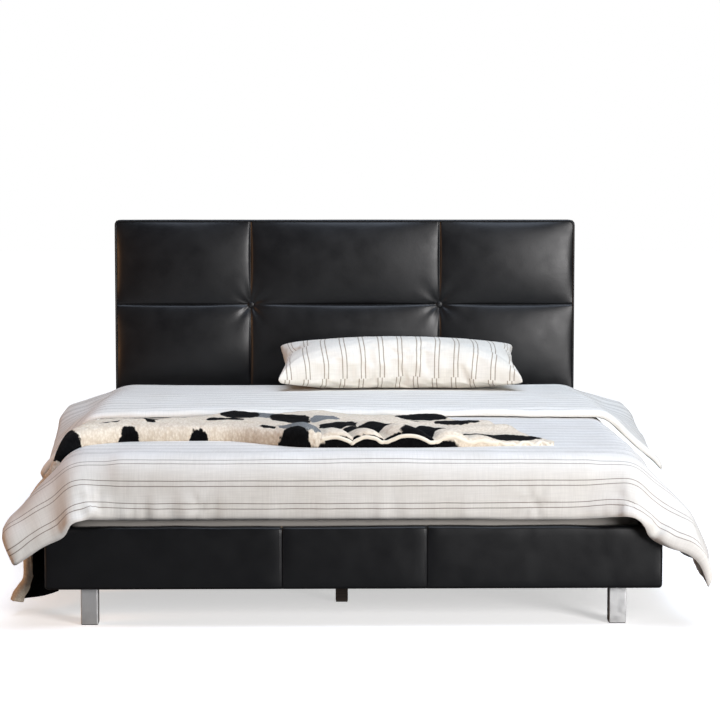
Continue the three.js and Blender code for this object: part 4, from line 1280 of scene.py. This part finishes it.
    def fill(self, piece: bpy.types.Object, loft: float, taper: float, proud: np.ndarray) -> None:
        """Gives a layer its filling, outward from its under face and thin at the sewn edges, with the cover's wrinkles.

        Args:
            piece: The settled cloth.
            loft: The filling's thickness.
            taper: How far from the edge it thins out.
            proud: How far each vertex's cover stands out of that.
        """
        flat = flat_places(piece)
        half = np.where(flat[:, 0] < 0, -flat[:, 0].min(), flat[:, 0].max())
        gaps = [flat[:, 1] - flat[:, 1].min(), flat[:, 1].max() - flat[:, 1], half - np.abs(flat[:, 0])]
        nearest = np.minimum.reduce(gaps)
        share = 0.14 + 0.86 * np.sqrt(1 - (1 - np.clip(nearest / taper, 0, 1)) ** 2)
        points, face = coordinates(piece.data), normals(piece.data)
        proud = proud * np.clip(nearest / 0.012, 0.15, 1)
        base = loft / 2 * share if loft == self.loft else loft * share
        points += face * (base + proud)[:, None]
        past = np.maximum(FOOT - self.reach - points[:, 1], 0)
        points[:, 1] += past - self.reach_over * (1 - np.exp(-past / self.reach_over))
        set_coordinates(piece.data, points)
        give_thickness(piece, loft + 0.02, (loft * share + proud) / (loft + 0.02))


@dataclass
class Throw:
    """The spotted bouclé throw: laid across the bed, with its far end hanging over the left side."""

    lift: float = 0.016
    thickness: float = 0.011
    tip: float = 0.545
    under: float = 0.040  # how far the folded edge reaches back in under
    bend: float = 0.150
    slope: float = math.radians(66)
    widest: float = 0.74
    fold: float = 0.25  # the share of the rows in the part folded under
    crest: float = 0.015  # cloth between the near edge's crest and the row where the part folded under starts
    probe: float = 0.16  # how far over and under its line it looks for the bedding
    binding: float = 0.0056  # the bound edge's radius

    def build(self, duvet: Duvet, wool: bpy.types.Material, binding: bpy.types.Material) -> list[bpy.types.Object]:
        """Lays the throw out, lets its end hang, and binds its edge."""
        self.duvet = duvet
        self.line = self.course()
        self.rest = self.resting()
        throw = surface("throw_blanket", 200, 60, self.places, wool)
        flat = flat_places(throw)
        held = np.nonzero(flat[:, 0] < self.level + 0.22)[0]
        Settling(frames=30, bending=2.0, mass=0.35).run(
            throw,
            [
                Block((-0.817, FOOT - 0.006, 0.08), (0.817, FOOT + 2.1, 0.272), 0.01),
                Block((-3, -3, -0.4), (3, 3, 0.008), 0.002),
            ],
            held,
        )
        self.hang(throw)
        subdivide(throw)
        flat = flat_places(throw)
        points, face = coordinates(throw.data), normals(throw.data)
        nub = 0.0010 * lattice_noise(flat[:, 0] * 90, flat[:, 1] * 90, 68)
        nub += 0.0012 * lattice_noise(flat[:, 0] * 38, flat[:, 1] * 38, 69)
        set_coordinates(throw.data, points + face * nub[:, None])
        edge_line = np.nonzero((np.abs(flat[:, 1] + self.crest) < 1e-4) & (flat[:, 0] < self.tip + 0.09))[0]
        edge_line = edge_line[np.argsort(flat[edge_line, 0])]
        line = coordinates(throw.data)[edge_line] - normals(throw.data)[edge_line] * (self.thickness - 0.001)
        give_thickness(throw, self.thickness, np.ones(len(throw.data.vertices)))
        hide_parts("throw")
        edge = tube("throw_binding", line, self.binding, binding)
        self.flat_area()
        return [throw, edge]

    def course(self) -> np.ndarray:
        """The throw's line from its tip, over the left side, to its hanging hem: rows of x, z, slope and distance."""
        x, z, turned = self.tip, self.duvet.top + self.lift, 0.0
        rows = [(x, z, turned, 0.0)]
        self.level = self.tip + self.duvet.flat + 0.01
        for length, to in (
            (self.level, 0.0),
            (self.bend * self.slope, self.slope),
            (0.17, self.slope),
            (0.06, math.pi / 2),
            (0.11, math.pi / 2),
        ):
            count = max(int(length / 0.004), 2)
            start = turned
            for i in range(count):
                slope = start + (to - start) * (i + 0.5) / count
                x -= math.cos(slope) * length / count
                z -= math.sin(slope) * length / count
                rows.append((x, z, start + (to - start) * (i + 1) / count, rows[-1][3] + length / count))
            turned = to
        self.length = rows[-1][3]
        return np.array(rows)

    def resting(self) -> np.ndarray:
        """How far out from its line the bedding under it lies: one row for each step along it, one column across."""
        steps, places = np.linspace(self.level - 0.2, self.length, 64), np.linspace(0.1, 1.1, 16)
        table = np.zeros((64, 16))
        for j, y in enumerate(places):
            last = 0.0
            for i, run in enumerate(steps):
                x, z, turned = (float(np.interp(run, self.line[:, 3], self.line[:, k])) for k in range(3))
                out = Vector((-math.sin(turned), 0, math.cos(turned)))
                start = Vector((x, FOOT + y, z)) + out * self.probe
                layers = (self.duvet.shell, self.duvet.cover)
                hits = [layer.ray_cast(start, -out, 2 * self.probe)[3] for layer in layers]
                found = [self.probe - far + self.lift for far in hits if far is not None]
                last = max(found) if found and z > 0.24 else last
                table[i, j] = last
        for _ in range(3):
            padded = np.pad(table, 1, mode="edge")
            table = (padded[:-2, 1:-1] + padded[2:, 1:-1] + padded[1:-1, :-2] + padded[1:-1, 2:] + 2 * table) / 6
        return table

    def rise_at(self, run: np.ndarray, y: np.ndarray) -> np.ndarray:
        """The bedding's rise at places on the throw, from the table."""
        i = np.clip((run - self.level + 0.2) / (self.length - self.level + 0.2) * 63, 0, 62.999)
        j = np.clip((y - 0.1) / 1.0 * 15, 0, 14.999)
        i0, j0 = i.astype(int), j.astype(int)
        fi, fj = i - i0, j - j0
        table = self.rest
        low = table[i0, j0] * (1 - fj) + table[i0, j0 + 1] * fj
        high = table[i0 + 1, j0] * (1 - fj) + table[i0 + 1, j0 + 1] * fj
        return (low * (1 - fi) + high * fi) * smooth_step(run, self.level - 0.2, self.level - 0.1)

    def edges(self, x: np.ndarray) -> tuple[np.ndarray, np.ndarray]:
        """The near and far edges at a place across the bed, from the foot rail's face, narrowing to the tip."""
        near = 0.345 - 0.150 * smooth_step(x, -0.36, -0.10) - 0.175 * smooth_step(x, -0.60, -0.86)
        near += 0.045 * smooth_step(x, 0.15, self.tip)
        across = [-1.2, -0.86, -0.66, -0.48, -0.27, -0.08, 0.08, 0.26, 0.36, 0.44, 0.50, self.tip]
        far = np.interp(x, across, [0.44, 0.52, 0.70, 0.78, 0.87, 0.90, 0.82, 0.74, 0.60, 0.43, 0.30, 0.246])
        return near, far

    def flat_area(self) -> float:
        """The cut's area: its narrowing width and the part folded under, summed along its length."""
        x = np.interp(np.linspace(0, self.length, 200), self.line[:, 3], self.line[:, 0])
        near, far = self.edges(x)
        return float(np.mean(far - near + self.under + 0.05)) * self.length

    def places(self, u: np.ndarray, v: np.ndarray) -> tuple[np.ndarray, np.ndarray]:
        """Where the throw is laid, before its end hangs."""
        run = u * self.length
        x, z, turned = (np.interp(run, self.line[:, 3], self.line[:, i]) for i in range(3))
        near, far = self.edges(x)
        wide = far - near
        level = smooth_step(turned, 0.6, 0.1)
        radius = 0.007 + 0.0125 * smooth_step(x, -0.03, -0.14) - 0.0045 * smooth_step(x, 0.28, self.tip - 0.06)
        radius = np.where(x < 0, 0.006 + (radius - 0.006) * level, radius)
        under = self.under * (1 - 0.9 * smooth_step(x, 0.30, self.tip)) * (0.3 + 0.7 * level)
        turn = np.clip((v / self.fold - 0.35) / 0.65, 0, 1) * math.pi
        back = under * np.clip(1 - v / self.fold / 0.35, 0, 1)
        past = np.clip((v - self.fold) / (1 - self.fold), 0, 1) * wide
        wave = 0.006 * lattice_noise(run * 5, run * 0, 61) * (1 - v)
        wave += 0.016 * lattice_noise(run * 6, run * 0, 62) * v * smooth_step(x, self.tip, 0.40)
        y = near + radius * (1 - np.sin(turn)) + back + past + wave
        risen = (1 - np.cos(turn)) / 2
        height = -0.013 + 2 * radius * risen
        height += smooth_step(past, 0.02, 0.16) * (-0.002 - (-0.013 + 2 * radius))
        ridged, shift = np.zeros_like(run), np.zeros_like(run)
        # ridges that start at the near edge and die out across the throw: place, width, height, lean, reach
        for place, wide_ridge, tall, lean, reach in (
            (-0.135, 0.036, 0.016, -0.10, 0.16), (-0.045, 0.030, 0.024, -0.10, 0.24),
            (0.040, 0.026, 0.027, -0.30, 0.26), (0.150, 0.040, 0.034, -0.45, 0.30),
            (0.262, 0.030, 0.026, -0.40, 0.24), (0.345, 0.034, 0.010, -0.20, 0.10),
        ):
            t = (x - place - lean * past) / wide_ridge
            fade = np.exp(-((past / reach) ** 2)) * level
            ridged += tall * np.exp(-t * t) * fade
            shift += 0.020 * t * np.exp(-t * t) * fade * (tall / 0.026)
        height += ridged * risen
        soft = 0.0030 * (1 + lattice_noise(x * 8, y * 7, 63)) + 0.0015 * (1 + lattice_noise(x * 19, y * 17, 64))
        height += level * soft * smooth_step(past, 0.0, 0.03)
        # ridges along the throw: distance from the near edge, width, height, seed
        for place, wide_ridge, tall, seed in (
            (0.17, 0.040, 0.020, 66), (0.34, 0.045, 0.017, 67), (0.50, 0.04, 0.014, 70),
        ):
            path = place + 0.06 * lattice_noise(x * 2.5, x * 0, seed)
            crest = np.exp(-(((past - path) / wide_ridge) ** 2))
            height += tall * level * crest * (0.65 + 0.35 * lattice_noise(x * 5, y * 0, seed + 9))
        height += 0.026 * smooth_step(y, 0.87, 0.97) * level
        height += self.rise_at(run, y) - 0.008
        px = x + shift * risen - np.sin(turned) * height
        pz = z + np.cos(turned) * height
        points = np.column_stack([px, FOOT + y, pz])
        across = np.where(v < self.fold, (v / self.fold - 1) * self.crest / 0.2, past)
        return points, np.column_stack([run, across])

    def hang(self, piece: bpy.types.Object) -> None:
        """Draws the hanging end in towards the rail and curls its corner, clear of the rail and the floor."""
        points, flat = coordinates(piece.data), flat_places(piece)
        low = smooth_step(points[:, 2], 0.20, 0.02) * (points[:, 0] < -0.7)
        past = np.clip(points[:, 1] - FOOT - 0.22, 0, None)
        points[:, 0] += low * (0.015 + 0.085 * np.clip(past / 0.25, 0, 1))
        end = smooth_step(flat[:, 0], self.length - 0.07, self.length)
        corner = end * np.exp(-((past / 0.05) ** 2))
        points[:, 0] -= 0.030 * corner
        points[:, 1] += 0.02 * corner
        side = points[:, 0] < -0.7
        limit = np.where(points[:, 2] < 0.285, -0.8165, -0.7)
        points[:, 0] = np.where(side, np.minimum(points[:, 0], limit), points[:, 0])
        points[:, 2] = np.where(points[:, 2] < 0.016, 0.016 + 0.1 * (points[:, 2] - 0.016), points[:, 2])
        points[:, 2] = np.maximum(points[:, 2], 0.0135)
        set_coordinates(piece.data, points)


@dataclass
class Pillow:
    """The striped pillow: filled, drawn in between its corners, and creased at its ends."""

    front_seam: float = 0.028  # above its underside
    back_seam: float = 0.112
    pressure: float = 3.0

    def build(self, linen: bpy.types.Material) -> list[bpy.types.Object]:
        """Sews two halves together, fills them, and lays the pillow down."""
        self.low, self.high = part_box("pillow")
        self.low.z, self.high.z = self.low.z - 0.006, self.high.z - 0.008
        halves = []
        for name, upper in (("pillow_case", True), ("pillow_under", False)):
            halves.append(surface(name, 92, 56, lambda u, v, upper=upper: self.half(u, v, upper), linen))
        with edited(halves[1].data) as bm:
            bmesh.ops.reverse_faces(bm, faces=bm.faces)
        case = join("pillow_case", halves)
        with edited(case.data) as bm:
            bmesh.ops.remove_doubles(bm, verts=bm.verts, dist=1e-5)
        blown = Settling(frames=26, bending=0.15, stretch=30.0, mass=0.3, pressure=self.pressure, gravity=0.0)
        blown.run(case, [], np.array([], int))
        self.lay(case)
        subdivide(case)
        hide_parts("pillow")
        return [case]

    def half(self, u: np.ndarray, v: np.ndarray, upper: bool) -> tuple[np.ndarray, np.ndarray]:
        """One half of the case, nearly flat, as it is sewn."""
        s, t = u * 2 - 1, v * 2 - 1
        wide, deep = (self.high.x - self.low.x) / 2 * 1.07, (self.high.y - self.low.y) / 2 * 1.12
        full = np.sqrt(np.maximum((1 - s**4) * (1 - t**4), 0))
        ripple = 0.004 * lattice_noise(s * 8, t * 5, 71) + 0.003 * lattice_noise(s * 20, t * 11, 72)
        z = (0.020 if upper else -0.020) * full + ripple * full
        shift = 0.0 if upper else 0.0075
        return np.column_stack([s * wide, t * deep, z]), np.column_stack([s * wide + shift, t * deep])

    def lay(self, piece: bpy.types.Object) -> None:
        """Fits the filled pillow to its place, with its underside flat and its back seam higher than its front."""
        points = coordinates(piece.data)
        low, high = points.min(0), points.max(0)
        share = (points - low) / (high - low)
        x = self.low.x + share[:, 0] * (self.high.x - self.low.x)
        y = self.low.y + share[:, 1] * (self.high.y - self.low.y)
        seam = self.low.z + self.front_seam + (self.back_seam - self.front_seam) * smooth_step(share[:, 1], 0.0, 1.0)
        up = np.clip(points[:, 2] / high[2], 0, 1) ** 0.68
        down = np.clip(points[:, 2] / low[2], 0, 1)
        z = seam + (self.high.z - seam) * up - (seam - self.low.z) * np.minimum(down * 1.7, 1) ** 0.8
        set_coordinates(piece.data, np.column_stack([x, y, z]))


# ---------------------------------------------------------------- the room


@dataclass
class Studio:
    """The pale floor, the soft lights and the camera."""

    def build(self) -> None:
        """Builds the room."""
        self.floor()
        self.lights()
        self.world()
        self.camera()

    def floor(self) -> None:
        """A wide floor with a painted glow that only the camera sees: the glow is dimmer near the bed, a painted shadow
        round it, and full far off. Other rays see a plain darker grey floor.
        """
        material, tree = new_material("white_floor_painted_glow")
        bright = add_node(tree, "BsdfDiffuse", {"Color": linear("F4F4F4")})
        where = add_node(tree, "TexCoord").outputs["Object"]
        far = add_node(tree, "VectorMath", {0: where}, operation="LENGTH").outputs["Value"]
        # Painted shadow: the glow is 0.54 within 1.7 m of the floor's middle, under the bed, and rises to full 4.4 m
        # away.
        lift = ranged(tree, far, (1.7, 4.4), (0.54, 1.0))
        glow = add_node(tree, "Emission", {"Color": linear("FFFFFF"), "Strength": lift})
        seen = add_node(tree, "AddShader", {0: bright.outputs[0], 1: glow.outputs[0]})
        dull = add_node(tree, "BsdfDiffuse", {"Color": linear("8A8886")})
        # The camera sees the bright floor and its painted glow; reflections and bounced light see the darker grey
        # floor.
        path = add_node(tree, "LightPath").outputs["Is Camera Ray"]
        both = add_node(tree, "MixShader", {0: path, 1: dull.outputs[0], 2: seen.outputs[0]})
        add_node(tree, "OutputMaterial", {"Surface": both.outputs[0]})
        bm = bmesh.new()
        bmesh.ops.create_grid(bm, x_segments=2, y_segments=2, size=30)
        floor = make_object(bm, "floor", material)

    def light(
        self,
        name: str,
        place: tuple[float, float, float],
        aim: tuple[float, float, float],
        size: tuple[float, float],
        power: float,
        colour: str,
    ) -> None:
        """Adds a soft rectangular light.

        Args:
            name: The light's name.
            place: Where its middle is.
            aim: The point that it looks at.
            size: Its width and height, in metres.
            power: In watts.
            colour: As sRGB hex.
        """
        lamp = bpy.data.lights.new(name, "AREA")
        lamp.shape = "RECTANGLE"
        lamp.size, lamp.size_y = size
        lamp.energy = power
        lamp.color = linear(colour)[:3]
        holder = bpy.data.objects.new(name, lamp)
        holder.location = place
        holder.rotation_euler = (Vector(aim) - Vector(place)).to_track_quat("-Z", "Y").to_euler()
        bpy.context.scene.collection.objects.link(holder)

    def lights(self) -> None:
        """A neutral light from the right and the front, a weak warm one from the left, and a cool one overhead."""
        self.light("window", (3.3, -5.2, 1.35), (0, 0, 0.5), (1.8, 1.9), 350, "FBF9F9")
        self.light("warm_bounce", (-3.6, -1.2, 0.9), (-0.8, 0.6, 0.6), (1.0, 1.6), 40, "FFBC80")
        self.light("overhead", (0.5, -0.4, 3.6), (0, 0, 0), (3.2, 3.6), 168, "DEEBFF")

    def world(self) -> None:
        """Even white light all round, seen by the camera as plain white."""
        world = bpy.data.worlds.new("studio")
        bpy.context.scene.world = world
        world.use_nodes = True
        tree = world.node_tree
        tree.nodes.clear()
        seen = add_node(tree, "LightPath").outputs["Is Camera Ray"]
        fill = add_node(tree, "Background", {"Color": linear("E9EEF4"), "Strength": 0.055})
        white = add_node(tree, "Background", {"Color": linear("FFFFFF"), "Strength": 1.0})
        mixed = add_node(tree, "MixShader", {0: seen, 1: fill.outputs[0], 2: white.outputs[0]})
        add_node(tree, "OutputWorld", {"Surface": mixed.outputs[0]})

    def camera(self) -> None:
        """The camera at the foot of the bed, a little above it."""
        data = bpy.data.cameras.new("camera")
        data.lens, data.sensor_width = 112.77, 36.0
        holder = bpy.data.objects.new("camera", data)
        holder.location = (-0.089, -6.9354, 1.1698)
        holder.rotation_euler = (math.pi / 2 - 0.0797, 0, -0.0178)
        bpy.context.scene.collection.objects.link(holder)
        bpy.context.scene.camera = holder
        bpy.context.scene.view_settings.view_transform = "Standard"


# ---------------------------------------------------------------- main


def dress_frame(nodes: dict[str, bpy.types.Object], finishes: dict[str, bpy.types.Material]) -> None:
    """Gives each CAD node that shows its own material.

    Args:
        nodes: The frame's nodes by name.
        finishes: Materials by the start of the names that they suit.
    """
    for name, node in nodes.items():
        for start, material in finishes.items():
            if name.startswith(start):
                node.data.materials.clear()
                node.data.materials.append(material)
                break
        else:
            LOG.warning("no finish for %s", name)


def place(pieces: list[bpy.types.Object], body: str) -> None:
    """Lets pieces ride on a body, and reports each."""
    for piece in pieces:
        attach(piece, body)
        LOG.info("%s rides on %s, %d faces", piece.name, body, len(piece.data.polygons))


def main() -> None:
    """Builds the bed's looks round its frame."""
    logging.basicConfig(level=logging.INFO, format="%(message)s")
    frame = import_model()
    Studio().build()

    leather = Leather().make()
    thread = Cotton("bonded_nylon_thread_black", "1C1C1E", "242427", 0.002, 0.6).make()
    steel = Metal("zinc_plated_steel", "B9BCC0", 0.32).make()
    lumber = Wood("poplar_board", "C9B48F", "9C8158", Way.ALONG).make()
    finishes = {
        "foot_rail_cover": leather, "side_rail_cover": leather, "headboard_cover": leather, "tuft_button": leather,
        "foot_rail_padding": Plastic("polyurethane_foam", "D8D2BE", 0.9, 0.004).make(),
        "foot_rail_board": lumber, "head_rail_board": lumber,
        "side_rail_board": Wood("poplar_board_long", "C9B48F", "9C8158", Way.ACROSS).make(),
        "slat_ledge": Wood("pine_ledge", "D6BC8C", "A98352", Way.ACROSS).make(),
        "slat_": Wood("birch_ply_slat", "DCC7A0", "B79A6C", Way.ALONG).make(),
        "corner_block": Wood("beech_block", "C79F74", "9E774F").make(),
        "centre_beam": Wood("pine_beam", "CDAF7E", "A07B4C", Way.ACROSS).make(),
        "centre_leg": Wood("walnut_stained_leg", "3A2A1F", "1F1510").make(),
        "beam_hanger": steel,
        "leg_glide": Plastic("nylon_glide_black", "1D1D1E", 0.5, 0.001).make(),
        "leg_": Metal("chrome_plated_steel_brushed", "DCDCDA", 0.36).make(),
        "felt_pad": Cotton("wool_felt_grey", "7C7A76", "66645F", 0.004).make(),
        "headboard_back_cover": Cotton("spunbond_dust_cloth_black", "222224", "2B2B2D", 0.003).make(),
        # The ticking's grey is partly its own pale colour and partly painted shade: darkened to stand for the duvet's
        # shadow on the strip that shows.
        "mattress": Cotton("damask_ticking_grey_painted_shade", "98948F", "8E8A85", 0.004).make(),
    }
    finishes["side_rail_padding"] = finishes["headboard_foam"] = finishes["foot_rail_padding"]
    finishes["headboard_"] = lumber
    rows = (0.0385, 0.066, 0.0145)  # the duvet's stripes: the first pair's middle, the pitch and the gap
    linen = Linen("washed_linen_striped", "DAD7D2", "D2CEC7", "6E635A", *rows, 0.0021, Way.ACROSS).make()
    reverse = Linen("washed_linen_reverse", "E4E1DA", "DDD9D0", "8E867B", *rows, 0.0036, Way.ACROSS).make()
    case = Linen("washed_linen_case", "DFDBD1", "D6D0C4", "857664", 0.0, 0.066, 0.015, 0.0032, Way.ALONG).make()
    finishes["duvet"], finishes["pillow"] = linen, case
    wool = Boucle(
        spots=(
            (1.16, -0.056, 0.034, 0.052, 0.0), (0.97, -0.056, 0.034, 0.044, 0.0), (1.325, -0.020, 0.036, 0.062, -0.2),
            # The long black oval at 0.455 along lines the folded-under near edge inside the ridges: painted shade in
            # their open folds.
            (0.775, 0.015, 0.024, 0.016, 0.0), (0.70, -0.045, 0.045, 0.045, -0.3), (0.455, -0.040, 0.20, 0.036, 0.0),
            (1.24, 0.20, 0.050, 0.060, 0.3), (1.117, 0.22, 0.024, 0.055, 0.0), (1.02, 0.37, 0.042, 0.030, 0.0),
            (0.905, 0.29, 0.058, 0.050, -0.2), (0.87, 0.47, 0.060, 0.055, 0.1), (0.72, 0.44, 0.060, 0.085, 0.0),
            (0.575, 0.22, 0.050, 0.080, 0.3), (0.49, 0.12, 0.070, 0.085, 0.5), (0.37, 0.38, 0.070, 0.060, -0.3),
            (0.345, 0.08, 0.056, 0.120, 0.3), (0.245, 0.31, 0.065, 0.030, 0.0), (0.14, 0.055, 0.112, 0.048, 0.1),
            (1.69, 0.14, 0.17, 0.115, 0.0), (0.34, 0.50, 0.075, 0.045, 0.1),
        ),
        patches=((0.69, 0.035, 0.065, 0.045, 0.3), (0.62, 0.44, 0.04, 0.06, 0.0), (0.80, 0.48, 0.035, 0.05, 0.0)),
    ).make()
    finishes["throw"] = wool
    binding = Cotton("cotton_binding_cream", "E6DCCB", "D8CCB8", 0.003).make()
    dress_frame(frame["nodes"], finishes)

    for rail in (
        Rail("foot_rail_cover", 0, -1, (-0.19, 0.19)),
        Rail("side_rail_cover_left", 1, -1, (-0.36, 0.34)),
        Rail("side_rail_cover_right", 1, 1, (-0.36, 0.34)),
    ):
        place(rail.build(leather, thread), "frame")
    place(Headboard().build(leather, steel), "frame")
    place(Hardware().build(steel), "frame")
    place(Mattress().build(finishes["mattress"], Cotton("mattress_tape", "C9C7C3", "BDBBB6", 0.003).make()), "mattress")
    duvet = Duvet()
    place(duvet.build(linen, reverse), "duvet")
    place(Throw().build(duvet, wool, binding), "throw")
    place(Pillow().build(case), "pillow")

    bpy.context.view_layer.update()


if __name__ == "__main__":
    main()
